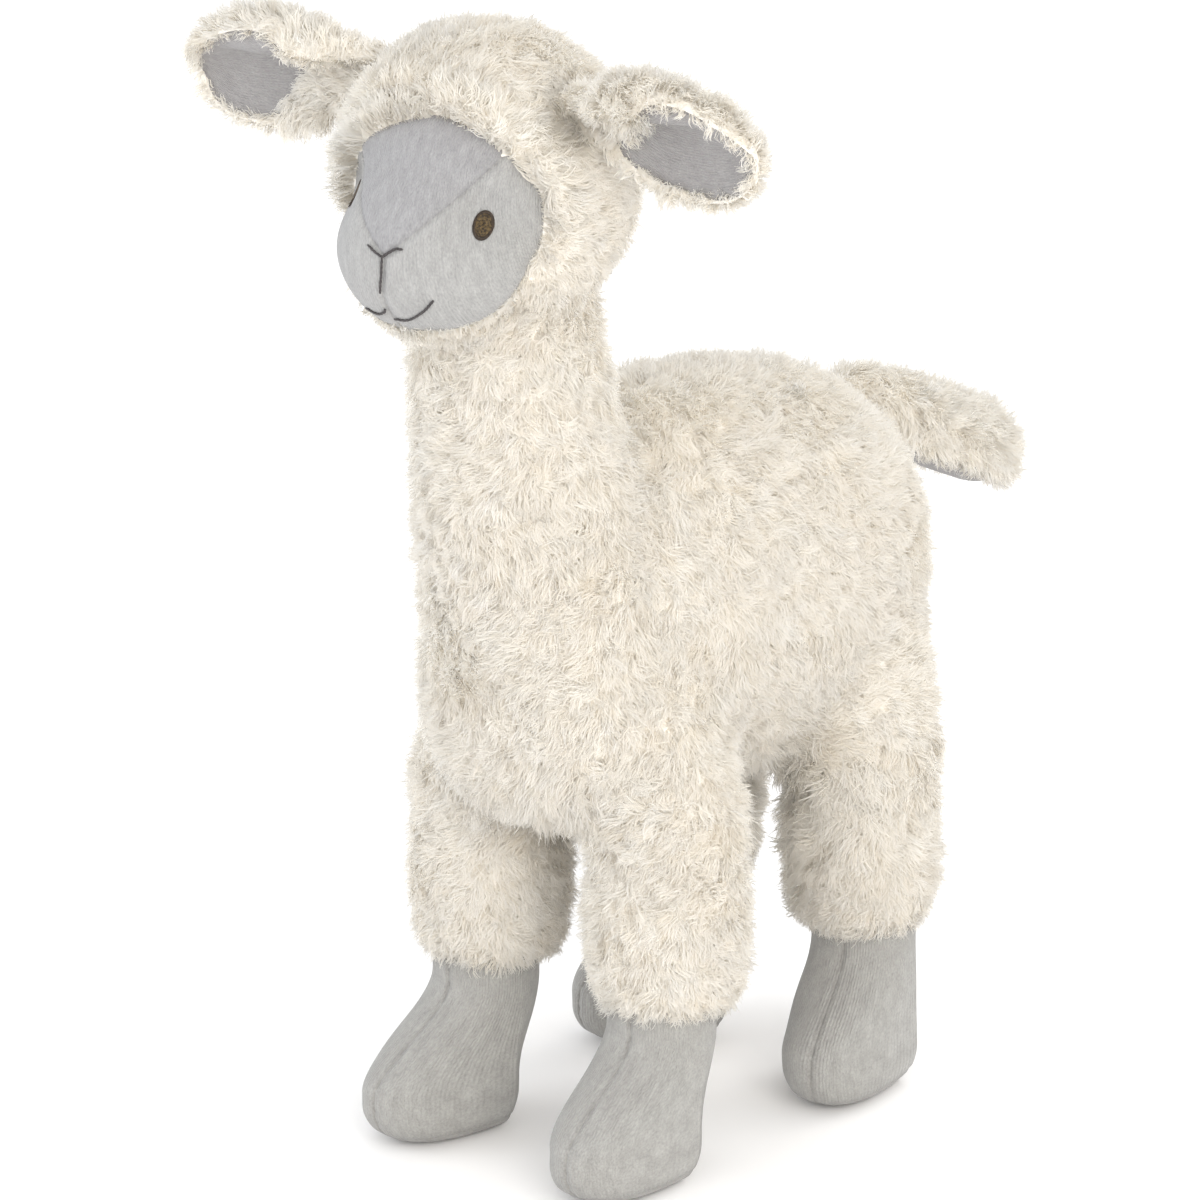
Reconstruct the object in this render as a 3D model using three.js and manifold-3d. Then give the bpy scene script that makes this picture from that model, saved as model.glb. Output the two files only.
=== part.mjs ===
// Plush llama: a standing soft toy in long-pile fur, with a velour face, boots and linings.
// Millimetres, +Z up. It faces -Y, its left side is +X, and the origin lies on the floor
// under the middle of its box.

import * as THREE from 'three';
import { mergeVertices } from 'three/addons/utils/BufferGeometryUtils.js';
import Module from 'manifold-3d';

const wasm = await Module();
wasm.setup();

// Fabrics
const SEAM_GAP = 0.3; // clearance between neighbouring pieces
const FUR_DEPTH = 8; // pile and backing of the fur fabric
const VELOUR = 2; // velour with its short pile
const THREAD_RADIUS = 0.7; // satin-stitched line

// Body
const BELLY_Z = 108; // underside of the belly
const WITHERS_Z = 251; // back line at the front end of the barrel
const CROUP_Z = 233.5; // back line at the rump
const BARREL_FRONT_Y = -82.8; // front end of the barrel, inside the chest
const RUMP_Y = 77.2; // hindmost point of the body
const BODY_WIDTH = 112;
const BARREL_FULLNESS = 3; // 2 is an egg, more is squarer at the ends
const CHEST_Y = -68.8; // middle of the chest where it meets the belly
const CHEST_WIDTH = 102;
const CHEST_DEPTH = 78;
const CHEST_FOOT = 0.36; // share of the chest's length over which its foot rounds in
const CHEST_FULLNESS = 2.4; // of that foot: 2 is an egg, more is squarer
const CHEST_BEND = 50; // how far the chest stays upright before it leans into the neck
const BELLY_PANEL_WIDTH = 44;
const BELLY_PANEL_HEIGHT = 24; // how far the belly panel reaches up at the chest and rump

// Legs
const HIP_SWING = 12; // degrees each way
const HAUNCH_WALL = 2; // body fur outside the top of each leg
const FRONT_LEG_X = 36;
const FRONT_LEG_Y = -61.8;
const FRONT_LEG_RADIUS = 25.5;
const FRONT_HAUNCH_HEIGHT = 100;
const FRONT_HAUNCH_LEAN = 24; // how far the top of the haunch leans in towards the spine
const BACK_LEG_X = 36;
const BACK_LEG_Y = 35.2;
const BACK_LEG_RADIUS = 25;
const BACK_HAUNCH_HEIGHT = 100;
const BACK_HAUNCH_LEAN = 13;
const HAUNCH_FULLNESS = 2.4; // 2 is an egg, more is squarer
const CUFF_Z = 54.5; // lower edge of the fur
const CUFF_ROUND = 7; // roll of the fur edge
const LEG_SWELL = 1.5; // fullness of the calf

// Boots
const ANKLE_RADIUS = 17;
const FRONT_BOOT_FORWARD = 2.5; // ankle's axis ahead of the leg's
const FRONT_BOOT_LEAN = 6; // how much further ahead the foot is
const BACK_BOOT_FORWARD = -2;
const BACK_BOOT_LEAN = 0;
const BOOT_TUCK = 4; // height sewn inside the fur cuff
const TOE_REACH = 44; // from the ankle's axis to the tip of the toe
const HEEL_REACH = 8;
const BOOT_WIDTH = 37.5;
const BULGE_Z = 13; // height of the widest part of the foot
const INSTEP_Z = 48; // height at which the ankle starts to flare into the foot
const SOLE_UNDERCUT = 0.23; // share by which the foot narrows down to the floor
const HEEL_UNDERCUT = 0.8; // the same behind the ankle
const SOLE_HEIGHT = 3.5; // seam of the sole above the floor
const FRONT_TOE_OUT = 4; // degrees
const BACK_TOE_OUT = 16;

// Neck and head
const HEAD_Y = -103.8;
const HEAD_Z = 321;
const HEAD_RADIUS = 48; // to the fur tips
const NECK_LENGTH = 88; // from the neck's pivot to the middle of the head
const NECK_TILT = 9; // degrees forward
const NECK_BASE_RADIUS = 33;
const NECK_TOP_RADIUS = 29.7;
const NECK_TAPER = 0.6; // share of the neck's length that narrows
const NECK_LEAN = 8; // degrees each way
const COLLAR_WALL = 1.6; // chest fur outside the foot of the neck
const MUZZLE_FORWARD = 24.5; // middle of the muzzle from the middle of the head
const MUZZLE_DROP = 15;
const MUZZLE_WIDTH = 64;
const MUZZLE_DEPTH = 49;
const MUZZLE_HEIGHT = 56;
const MUZZLE_BLEND = 6; // roundness of the dip between muzzle and brow

// Face, in degrees about the middle of the head: azimuth to its left, elevation up
const MASK_MIDDLE = -5;
const MASK_HALF_WIDTH = 65;
const MASK_TOP = 48; // above the middle
const MASK_BOTTOM = 41; // below the middle
const MASK_TOP_SHAPE = 1.9; // 2 is an ellipse, more is squarer
const MASK_BOTTOM_SHAPE = 2.8;
const FACE_TURN = 3; // azimuth of the nose and of the forehead panel's middle
const GUSSET_APEX = -17; // elevation of the nose, where the forehead panel ends
const GUSSET_HALF_WIDTH = 48; // at the elevation below
const GUSSET_SIDE = 24;
const GUSSET_FLARE = 0.9; // bow of the panel's edges: 1 is straight
const GUSSET_SPARE = 20; // above the top of the mask
const EYE_AZIMUTH = 40;
const EYE_ELEVATION = -5.5;
const EYE_TILT = 24; // lean of the oval's top away from the nose
const EYE_WIDTH = 6.8;
const EYE_HEIGHT = 9.4;
const EYE_RAISE = 1;
const NOSE_JUNCTION = { azimuth: FACE_TURN, elevation: GUSSET_APEX };
const NOSE_ARM = { azimuth: 7.8, elevation: 4 }; // from the junction to each arm's end
const NOSE_STEM = { azimuth: -2.7, elevation: -14 }; // from the junction to the stem's end
const MOUTH = { // azimuth and elevation along each half, from the middle to the corner
  left: [[2, -40.5], [9, -39.5], [16.5, -35], [21.5, -30.5]],
  right: [[-1.5, -36], [-3.5, -38.3], [-8.5, -40.3], [-14.5, -39.8]],
};

// Ears
const EAR_LENGTH = 71;
const EAR_HALF_WIDTH = 26;
const EAR_FUR = 7; // thickness of the fur back
const EAR_FACING = 1.5; // fullness of the front of the fur back
const EAR_CUP = 6; // how far the edges come forward
const EAR_CURL = 9; // further curl of the upper edge
const EAR_CURL_START = 0.2; // where that curl begins, as a share of the half width
const EAR_RIM = 4.5; // fur showing round the lining
const EAR_ROOT_RADIUS = 10.5;
const EAR_ROOT_SHARE = 0.45; // width at the root against the full width
const EAR_ROOT_AZIMUTH = 85; // place of the root on the head, degrees
const EAR_ROOT_ELEVATION = 37;
const EAR_DROOP = 5; // degrees below level
const EAR_TILT = 2.5; // left ear higher and right ear lower by this, degrees
const EAR_SWEEP = 5; // degrees forward
const EAR_FLOP = 20; // degrees it can sink from rest
const EAR_FACE_DOWN = 24; // lining turned down from straight ahead, degrees

// Tail
const TAIL_LENGTH = 90;
const TAIL_HALF_WIDTH = 24;
const TAIL_FUR = 19; // thickness above the lining
const TAIL_BELLY = 11; // fullness of its underside
const TAIL_ARCH = 5; // how far the side edges hang
const TAIL_RIM = 5;
const TAIL_ROOT_RADIUS = 14;
const TAIL_ROOT_SHARE = 0.6;
const TAIL_Y = 70.2;
const TAIL_Z = 210;
const TAIL_DROOP = 24; // degrees below level
const TAIL_SINK = 15; // degrees it can sink from rest

// Ears and tail alike, along a leaf from root to tip
const LEAF_WIDEST = 0.5;
const LEAF_TIP = 2.2; // 2 is an ellipse, more is squarer
const LEAF_SWELL = 1.4; // how soon a narrow part of the leaf reaches its full thickness

// Facets
const ROUND_SEGMENTS = 16;
const BALL_SEGMENTS = 24; // head, and foot of the neck
const BODY_SEGMENTS = 18;
const LEAF_SEGMENTS = 10;
const LEAF_STEPS = 6;
const HEAD_DETAIL = 4;
const STITCH_STEPS = 5;
const STITCH_SIDES = 6;
const FACET = Math.cos(Math.PI / ROUND_SEGMENTS); // a round facet's middle against its corners
const FAR = 600; // larger than the toy

const FUR = { color: '#f1eadb', roughness: 1, metalness: 0 };
const VELOUR_GREY = { color: '#bcbbbb', roughness: 0.95, metalness: 0 };
const FILLING = { color: '#f7f7f4', roughness: 1, metalness: 0 };
const EYE_THREAD = { color: '#5a4430', roughness: 0.6, metalness: 0 };
const LINE_THREAD = { color: '#4f4b4a', roughness: 0.7, metalness: 0 };

const rad = THREE.MathUtils.degToRad;
const lerp = THREE.MathUtils.lerp;
const smooth = (t) => THREE.MathUtils.smoothstep(t, 0, 1);
const superellipse = (s, power) => (1 - Math.abs(s) ** power) ** (1 / power);
const point = (x, y, z) => new THREE.Vector3(x, y, z);

const ACROSS = point(1, 0, 0);
const AHEAD = point(0, -1, 0);
const UP = point(0, 0, 1);
const HEAD = point(0, HEAD_Y, HEAD_Z);
const NECK_AXIS = point(0, -Math.sin(rad(NECK_TILT)), Math.cos(rad(NECK_TILT)));
const NECK_PIVOT = HEAD.clone().addScaledVector(NECK_AXIS, -NECK_LENGTH);

// Solids

function signedVolume(geometry) {
  const p = geometry.attributes.position;
  const index = geometry.index.array;
  const corner = [point(), point(), point()];
  let volume = 0;
  for (let i = 0; i < index.length; i += 3) {
    corner.forEach((c, k) => c.fromBufferAttribute(p, index[i + k]));
    volume += corner[0].dot(corner[1].clone().cross(corner[2])) / 6;
  }
  return volume;
}

function solid(geometry) {
  geometry.deleteAttribute('normal');
  geometry.deleteAttribute('uv');
  const welded = mergeVertices(geometry, 1e-4);
  const triVerts = Uint32Array.from(welded.index.array);
  if (signedVolume(welded) < 0) triVerts.reverse();
  const vertProperties = Float32Array.from(welded.attributes.position.array);
  return new wasm.Manifold(new wasm.Mesh({ numProp: 3, vertProperties, triVerts }));
}

function geometryOf(manifold) {
  const mesh = manifold.getMesh();
  const geometry = new THREE.BufferGeometry();
  geometry.setAttribute('position', new THREE.BufferAttribute(mesh.vertProperties, 3));
  geometry.setIndex(new THREE.BufferAttribute(mesh.triVerts, 1));
  geometry.computeVertexNormals();
  return geometry;
}

// Skin over a row of rings with equal point counts, closed by a point at each end.
function loft(rings, first, last) {
  const count = rings[0].length;
  const points = [first, ...rings.flat(), last];
  const index = [];
  for (let k = 0; k < count; k += 1) {
    const next = (k + 1) % count;
    index.push(0, 1 + next, 1 + k);
    for (let r = 0; r + 1 < rings.length; r += 1) {
      const low = 1 + r * count;
      const high = low + count;
      index.push(low + k, low + next, high + next, low + k, high + next, high + k);
    }
    const end = 1 + (rings.length - 1) * count;
    index.push(points.length - 1, end + k, end + next);
  }
  const geometry = new THREE.BufferGeometry().setFromPoints(points);
  geometry.setIndex(index);
  return solid(geometry);
}

const middle = (ring) => ring.reduce((sum, p) => sum.add(p), point()).divideScalar(ring.length);

function around(count, place) {
  return Array.from({ length: count }, (_, k) => place((2 * Math.PI * k) / count));
}

// Ball with its poles on an axis.
function ball(centre, radius, axis, segments = ROUND_SEGMENTS) {
  const geometry = new THREE.SphereGeometry(radius, segments, segments / 2);
  geometry.applyQuaternion(new THREE.Quaternion().setFromUnitVectors(point(0, 1, 0), axis));
  geometry.translate(centre.x, centre.y, centre.z);
  return solid(geometry);
}

// Hollow for such a ball to turn in about that axis: its flat facets clear the ball's corners.
function socket(centre, radius, axis, segments = ROUND_SEGMENTS) {
  return ball(centre, (radius + SEAM_GAP) / Math.cos(Math.PI / segments), axis, segments);
}

// Turned form from [radius, height] pairs about a line through base along axis.
function turned(profile, base, axis) {
  const outline = profile.map(([radius, height]) => new THREE.Vector2(radius, height));
  const geometry = new THREE.LatheGeometry(outline, ROUND_SEGMENTS);
  const turn = new THREE.Quaternion().setFromUnitVectors(point(0, 1, 0), axis);
  geometry.applyQuaternion(turn);
  geometry.translate(base.x, base.y, base.z);
  return solid(geometry);
}

function box(low, high) {
  const size = high.clone().sub(low);
  const geometry = new THREE.BoxGeometry(size.x, size.y, size.z);
  const centre = low.clone().add(high).divideScalar(2);
  geometry.translate(centre.x, centre.y, centre.z);
  return solid(geometry);
}

// The part of a solid on one side of a plane across X, set back by half a seam.
function sideOf(manifold, x, side) {
  const near = x + (side * SEAM_GAP) / 2;
  const far = side * FAR;
  const low = point(Math.min(near, far), -FAR, -FAR);
  return manifold.intersect(box(low, point(Math.max(near, far), FAR, FAR)));
}

// A solid swung about a pivot, in degrees about X, Y and Z.
function swung(manifold, pivot, angles) {
  const shift = pivot.toArray();
  const home = shift.map((value) => -value);
  return manifold.translate(home).rotate(angles).translate(shift);
}

const join = (manifolds) => manifolds.reduce((whole, next) => whole.add(next));
const cut = (manifold, tools) => tools.reduce((rest, tool) => rest.subtract(tool), manifold);

function piece(group, name, manifold, look) {
  const mesh = new THREE.Mesh(geometryOf(manifold), new THREE.MeshStandardMaterial(look));
  mesh.name = name;
  group.add(mesh);
}

// Legs: each hangs from a ball at the hip, under the flat foot of its haunch

function makeLeg({ x, y, ...rest }) {
  const drop = rest.radius * Math.sin(rad(HIP_SWING)) + SEAM_GAP;
  return { ...rest, hip: point(rest.side * x, y, BELLY_Z - drop) };
}

const legs = [1, -1].flatMap((side) => {
  const hand = side > 0 ? 'left' : 'right';
  return [
    makeLeg({
      name: `front_${hand}`,
      side,
      x: FRONT_LEG_X,
      y: FRONT_LEG_Y,
      radius: FRONT_LEG_RADIUS,
      haunchHeight: FRONT_HAUNCH_HEIGHT,
      haunchLean: FRONT_HAUNCH_LEAN,
      toeOut: FRONT_TOE_OUT,
      forward: FRONT_BOOT_FORWARD,
      lean: FRONT_BOOT_LEAN,
    }),
    makeLeg({
      name: `back_${hand}`,
      side,
      x: BACK_LEG_X,
      y: BACK_LEG_Y,
      radius: BACK_LEG_RADIUS,
      haunchHeight: BACK_HAUNCH_HEIGHT,
      haunchLean: BACK_HAUNCH_LEAN,
      toeOut: BACK_TOE_OUT,
      forward: BACK_BOOT_FORWARD,
      lean: BACK_BOOT_LEAN,
    }),
  ];
});

const BOOT_TOP = CUFF_Z + BOOT_TUCK;

// Outside of a leg: a dome at the hip, a slightly swollen shank and a rolled edge of fur.
function legOuter({ hip, radius }) {
  const edge = CUFF_Z - hip.z;
  const calf = edge + CUFF_ROUND;
  const dome = [0, 0.2, 0.4, 0.6, 0.8].map((t) => {
    const angle = rad(90 * t);
    return [radius * Math.sin(angle), radius * Math.cos(angle)];
  });
  const shank = [0, 0.3, 0.6, 1].map((t) => [radius + LEG_SWELL * Math.sin(Math.PI * t), calf * t]);
  const roll = [0.5, 1].map((t) => {
    const angle = rad(90 * t);
    return [radius - CUFF_ROUND * (1 - Math.cos(angle)), calf - CUFF_ROUND * Math.sin(angle)];
  });
  return turned([...dome, ...shank, ...roll, [0, edge]], hip, UP);
}

// The stuffing's channel, from above the boot up through the hip.
function shankChannel({ hip, radius }, inset) {
  const wide = radius - FUR_DEPTH - inset;
  const low = BOOT_TOP + SEAM_GAP + inset - hip.z;
  const high = radius + FUR_DEPTH;
  return turned([[0, low], [wide, low], [wide, high], [0, high]], hip, UP);
}

// The opening of the fur cuff, round the boot's ankle.
function cuffOpening({ hip, forward }) {
  const wide = (ANKLE_RADIUS + SEAM_GAP) / FACET;
  const low = CUFF_Z - FUR_DEPTH;
  const high = BOOT_TOP + 4 * SEAM_GAP;
  return turned([[0, low], [wide, low], [wide, high], [0, high]],
    point(hip.x, hip.y - forward, 0), UP);
}

function bootSection({ hip, side, toeOut, forward, lean }, z, inset) {
  const rise = smooth((INSTEP_Z - z) / (INSTEP_Z - BULGE_Z));
  const roll = Math.max(0, 1 - z / BULGE_Z) ** 2;
  const under = 1 - SOLE_UNDERCUT * roll;
  const toe = lerp(ANKLE_RADIUS, TOE_REACH, rise) * under - inset;
  const heel = lerp(ANKLE_RADIUS, HEEL_REACH, rise) * (1 - HEEL_UNDERCUT * roll) - inset;
  const half = lerp(ANKLE_RADIUS, BOOT_WIDTH / 2, rise) * under - inset;
  const turn = side * rad(toeOut);
  return around(ROUND_SEGMENTS, (angle) => {
    const reach = Math.sin(angle) < 0 ? toe : heel;
    const p = point(half * Math.cos(angle), reach * Math.sin(angle) - lean * rise, z);
    return p.applyAxisAngle(UP, turn).add(point(hip.x, hip.y - forward, 0));
  });
}

// A boot between two heights; its ankle is straight from the instep up.
function boot(leg, low, high, inset) {
  const flare = [0, 0.35, 0.7, 1].map((t) => lerp(BULGE_Z, INSTEP_Z, t));
  const rings = [low, ...flare, high].map((z) => bootSection(leg, z, inset));
  return loft(rings, middle(rings[0]), middle(rings.at(-1)));
}

function sole(leg) {
  const rings = [0, 0.4, 1].map((t) => bootSection(leg, SOLE_HEIGHT * t, 0));
  return loft(rings, middle(rings[0]), middle(rings.at(-1)));
}

function buildLeg(group, leg) {
  const outer = legOuter(leg);
  const cover = cut(outer, [shankChannel(leg, 0), cuffOpening(leg)]);
  piece(group, `${leg.name}_leg_cover`, cover, FUR);

  const upper = boot(leg, SOLE_HEIGHT + SEAM_GAP, BOOT_TOP, 0);
  const hollow = boot(leg, SOLE_HEIGHT, BOOT_TOP + VELOUR, VELOUR);
  const shell = upper.subtract(hollow);
  piece(group, `${leg.name}_boot_outer_panel`, sideOf(shell, leg.hip.x, leg.side), VELOUR_GREY);
  piece(group, `${leg.name}_boot_inner_panel`, sideOf(shell, leg.hip.x, -leg.side), VELOUR_GREY);
  piece(group, `${leg.name}_boot_sole`, sole(leg), VELOUR_GREY);

  const foot = boot(leg, SOLE_HEIGHT + SEAM_GAP, BOOT_TOP + 3 * SEAM_GAP, VELOUR + SEAM_GAP);
  const shank = shankChannel(leg, SEAM_GAP).intersect(outer);
  piece(group, `${leg.name}_leg_filling`, foot.add(shank), FILLING);
}

// Body: a barrel, an upright chest and four haunches

function barrel(grow) {
  const mid = (BARREL_FRONT_Y + RUMP_Y) / 2;
  const reach = (RUMP_Y - BARREL_FRONT_Y) / 2 + grow;
  const steps = [-0.96, -0.8, -0.5, -0.1, 0.3, 0.6, 0.8, 0.92, 0.98];
  const rings = steps.map((s) => {
    const y = mid + reach * s;
    const back = lerp(WITHERS_Z, CROUP_Z, (y - BARREL_FRONT_Y) / (RUMP_Y - BARREL_FRONT_Y));
    const size = superellipse(s, BARREL_FULLNESS);
    const half = (BODY_WIDTH / 2 + grow) * size;
    const height = ((back - BELLY_Z) / 2 + grow) * size;
    return around(BODY_SEGMENTS, (angle) => point(half * Math.cos(angle), y,
      (back + BELLY_Z) / 2 + height * Math.sin(angle)));
  });
  const end = (ring, s) => middle(ring).setY(mid + reach * s);
  return loft(rings, end(rings[0], -1), end(rings.at(-1), 1));
}

function chest(grow) {
  const base = point(0, CHEST_Y, BELLY_Z - grow);
  const drop = (NECK_BASE_RADIUS + COLLAR_WALL) * Math.sin(rad(NECK_LEAN)) + SEAM_GAP;
  const top = NECK_PIVOT.clone().addScaledVector(NECK_AXIS, -drop);
  const path = new THREE.CubicBezierCurve3(
    base,
    base.clone().addScaledVector(UP, CHEST_BEND),
    top.clone().addScaledVector(NECK_AXIS, -CHEST_BEND),
    top,
  );
  const collar = NECK_BASE_RADIUS + COLLAR_WALL + grow;
  const steps = [0.02, 0.08, 0.18, 0.34, 0.54, 0.78, 1];
  const rings = steps.map((t) => {
    const centre = path.getPoint(t);
    const forward = path.getTangent(t).cross(ACROSS);
    const foot = superellipse(1 - Math.min(t / CHEST_FOOT, 1), CHEST_FULLNESS);
    const half = lerp(CHEST_WIDTH / 2 + grow, collar, smooth(t)) * foot;
    const depth = lerp(CHEST_DEPTH / 2 + grow, collar, smooth(t)) * foot;
    return around(BODY_SEGMENTS, (angle) => centre.clone()
      .addScaledVector(ACROSS, half * Math.cos(angle))
      .addScaledVector(forward, depth * Math.sin(angle)));
  });
  return loft(rings, base, middle(rings.at(-1)));
}

function haunch({ hip, radius, haunchHeight, haunchLean, side }, grow) {
  const wide = radius + HAUNCH_WALL + grow;
  const steps = [0, 0.3, 0.6, 0.85];
  const rings = steps.map((t) => {
    const size = wide * superellipse(t, HAUNCH_FULLNESS);
    const centre = point(hip.x - side * haunchLean * t, hip.y, BELLY_Z + haunchHeight * t);
    return around(ROUND_SEGMENTS, (angle) => centre.clone()
      .add(point(size * Math.cos(angle), size * Math.sin(angle), 0)));
  });
  const tip = point(hip.x - side * haunchLean, hip.y, BELLY_Z + haunchHeight);
  return loft(rings, middle(rings[0]), tip);
}

function bodyOuter(grow) {
  return join([barrel(grow), chest(grow), ...legs.map((leg) => haunch(leg, grow))]);
}

function neckColumn(grow) {
  const sides = [0, NECK_TAPER / 2, NECK_TAPER, 1].map((t) => [
    lerp(NECK_BASE_RADIUS, NECK_TOP_RADIUS, Math.min(t / NECK_TAPER, 1)) + grow,
    NECK_LENGTH * t,
  ]);
  return turned([[0, 0], ...sides, [0, NECK_LENGTH]], NECK_PIVOT, NECK_AXIS);
}

// The neck's path through the withers as it leans, cut out of the body.
function neckSweep() {
  const column = neckColumn(SEAM_GAP);
  return [-NECK_LEAN, NECK_LEAN].map((angle) => swung(column, NECK_PIVOT, [angle, 0, 0]));
}

function buildBody(group) {
  const sockets = [
    ...legs.map((leg) => socket(leg.hip, leg.radius / FACET, ACROSS)),
    socket(NECK_PIVOT, NECK_BASE_RADIUS, ACROSS, BALL_SEGMENTS),
    ...neckSweep(),
    socket(TAIL_ROOT, TAIL_ROOT_RADIUS, ACROSS),
  ];
  const hollow = join([barrel(-FUR_DEPTH), chest(-FUR_DEPTH)]);
  const cover = cut(bodyOuter(0).subtract(hollow), sockets);
  const half = BELLY_PANEL_WIDTH / 2;
  const underside = (gap) => box(
    point(-half - gap, -FAR, 0),
    point(half + gap, FAR, BELLY_Z + BELLY_PANEL_HEIGHT + gap),
  );
  const sides = cover.subtract(underside(SEAM_GAP));
  piece(group, 'body_left_panel', sideOf(sides, 0, 1), FUR);
  piece(group, 'body_right_panel', sideOf(sides, 0, -1), FUR);
  piece(group, 'belly_panel', cover.intersect(underside(0)), FUR);

  const stuffing = join([barrel(-FUR_DEPTH - SEAM_GAP), chest(-FUR_DEPTH - SEAM_GAP)]);
  piece(group, 'body_filling', cut(stuffing, sockets), FILLING);
}

// Neck: a column with a ball foot in the chest and a cup under the head

function buildNeck(group) {
  const foot = ball(NECK_PIVOT, NECK_BASE_RADIUS, ACROSS, BALL_SEGMENTS);
  const outer = foot.add(neckColumn(0))
    .subtract(socket(HEAD, HEAD_RADIUS, NECK_AXIS, BALL_SEGMENTS));
  const channel = (inset) => turned([
    [0, -NECK_BASE_RADIUS - FUR_DEPTH],
    [NECK_BASE_RADIUS - FUR_DEPTH - inset, -NECK_BASE_RADIUS - FUR_DEPTH],
    [NECK_BASE_RADIUS - FUR_DEPTH - inset, 0],
    [NECK_TOP_RADIUS - FUR_DEPTH - inset, NECK_LENGTH * NECK_TAPER],
    [NECK_TOP_RADIUS - FUR_DEPTH - inset, NECK_LENGTH],
    [0, NECK_LENGTH],
  ], NECK_PIVOT, NECK_AXIS);
  piece(group, 'neck_cover', outer.subtract(channel(0)), FUR);
  piece(group, 'neck_filling', outer.intersect(channel(SEAM_GAP)), FILLING);
}

// Head: surfaces measured outwards from its middle

function direction(azimuth, elevation) {
  const level = Math.cos(rad(elevation));
  return point(Math.sin(rad(azimuth)) * level, -Math.cos(rad(azimuth)) * level,
    Math.sin(rad(elevation)));
}

// Distance from the middle of the head to the face: a ball with a muzzle blended in.
function faceReach(aim) {
  const centre = point(0, -MUZZLE_FORWARD, -MUZZLE_DROP);
  const size = point(MUZZLE_WIDTH / 2, MUZZLE_DEPTH / 2, MUZZLE_HEIGHT / 2);
  const ray = aim.clone().divide(size);
  const start = centre.divide(size);
  const along = ray.dot(start);
  const inside = along * along - ray.lengthSq() * (start.lengthSq() - 1);
  const muzzle = inside > 0 ? (along + Math.sqrt(inside)) / ray.lengthSq() : 0;
  const skull = HEAD_RADIUS - FUR_DEPTH;
  const blend = Math.max(MUZZLE_BLEND - Math.abs(skull - muzzle), 0) / MUZZLE_BLEND;
  return Math.max(skull, muzzle) + (blend * blend * MUZZLE_BLEND) / 4;
}

function headSolid(reach) {
  const geometry = new THREE.IcosahedronGeometry(1, HEAD_DETAIL);
  const p = geometry.attributes.position;
  for (let i = 0; i < p.count; i += 1) {
    const aim = point().fromBufferAttribute(p, i).normalize();
    const spot = HEAD.clone().addScaledVector(aim, reach(aim));
    p.setXYZ(i, spot.x, spot.y, spot.z);
  }
  return solid(geometry);
}

const headBall = (grow) => ball(HEAD, HEAD_RADIUS + grow, NECK_AXIS, BALL_SEGMENTS);
const faceSolid = (grow) => headSolid((aim) => faceReach(aim) + grow);

// Wedge from the middle of the head through a closed outline of directions.
function wedge(outline, aim) {
  const ring = outline.map((d) => HEAD.clone().addScaledVector(d, 2 * HEAD_RADIUS));
  return loft([ring], HEAD, HEAD.clone().addScaledVector(aim, 2 * HEAD_RADIUS));
}

function maskWedge(grow) {
  const spread = THREE.MathUtils.radToDeg(grow / HEAD_RADIUS);
  const outline = around(2 * ROUND_SEGMENTS, (angle) => {
    const s = Math.sin(angle);
    const power = 2 / (s > 0 ? MASK_TOP_SHAPE : MASK_BOTTOM_SHAPE);
    const c = Math.cos(angle);
    const rise = (s > 0 ? MASK_TOP : MASK_BOTTOM) + spread;
    const azimuth = (MASK_HALF_WIDTH + spread) * Math.sign(c) * Math.abs(c) ** power;
    return direction(azimuth, MASK_MIDDLE + rise * Math.sign(s) * Math.abs(s) ** power);
  });
  return wedge(outline, direction(0, MASK_MIDDLE));
}

function gussetWedge(grow) {
  const spread = THREE.MathUtils.radToDeg(grow / HEAD_RADIUS);
  const side = (hand) => [0, 0.35, 0.7, 1].map((t) => direction(
    FACE_TURN + hand * (GUSSET_HALF_WIDTH * t ** GUSSET_FLARE + spread),
    lerp(GUSSET_APEX, GUSSET_SIDE, t) - spread,
  ));
  const top = MASK_MIDDLE + MASK_TOP + GUSSET_SPARE;
  const crown = [1, 0, -1].map((hand) => direction(FACE_TURN + hand * GUSSET_HALF_WIDTH, top));
  return wedge([...side(1), ...crown, ...side(-1).reverse()], direction(FACE_TURN, MASK_TOP / 2));
}

function eyeWedge(side) {
  const aim = direction(side * EYE_AZIMUTH, EYE_ELEVATION);
  const level = point(-aim.y, aim.x, 0).normalize();
  const across = level.applyAxisAngle(aim, -side * rad(EYE_TILT));
  const upward = aim.clone().cross(across);
  const reach = faceReach(aim);
  const outline = around(ROUND_SEGMENTS / 2, (angle) => aim.clone()
    .addScaledVector(across, (EYE_WIDTH / 2 / reach) * Math.cos(angle))
    .addScaledVector(upward, (EYE_HEIGHT / 2 / reach) * Math.sin(angle)));
  return wedge(outline, aim);
}

// A stitched line lying on the face through the given directions.
function stitchedLine(spots) {
  const path = new THREE.CatmullRomCurve3(spots.map(({ azimuth, elevation }) => {
    const aim = direction(azimuth, elevation);
    return HEAD.clone().addScaledVector(aim, faceReach(aim) + SEAM_GAP + THREAD_RADIUS / 2);
  }));
  const section = new THREE.Shape(around(STITCH_SIDES, (angle) => new THREE.Vector2(
    THREAD_RADIUS * Math.cos(angle),
    THREAD_RADIUS * Math.sin(angle),
  )));
  const run = { steps: STITCH_STEPS, extrudePath: path, bevelEnabled: false };
  return solid(new THREE.ExtrudeGeometry(section, run));
}

const offset = (spot, shift, hand = 1) => ({
  azimuth: spot.azimuth + hand * shift.azimuth,
  elevation: spot.elevation + shift.elevation,
});

function nose() {
  const arms = [1, -1].map((hand) => stitchedLine([
    NOSE_JUNCTION, offset(NOSE_JUNCTION, NOSE_ARM, hand),
  ]));
  return join([stitchedLine([NOSE_JUNCTION, offset(NOSE_JUNCTION, NOSE_STEM)]), ...arms]);
}

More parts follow.
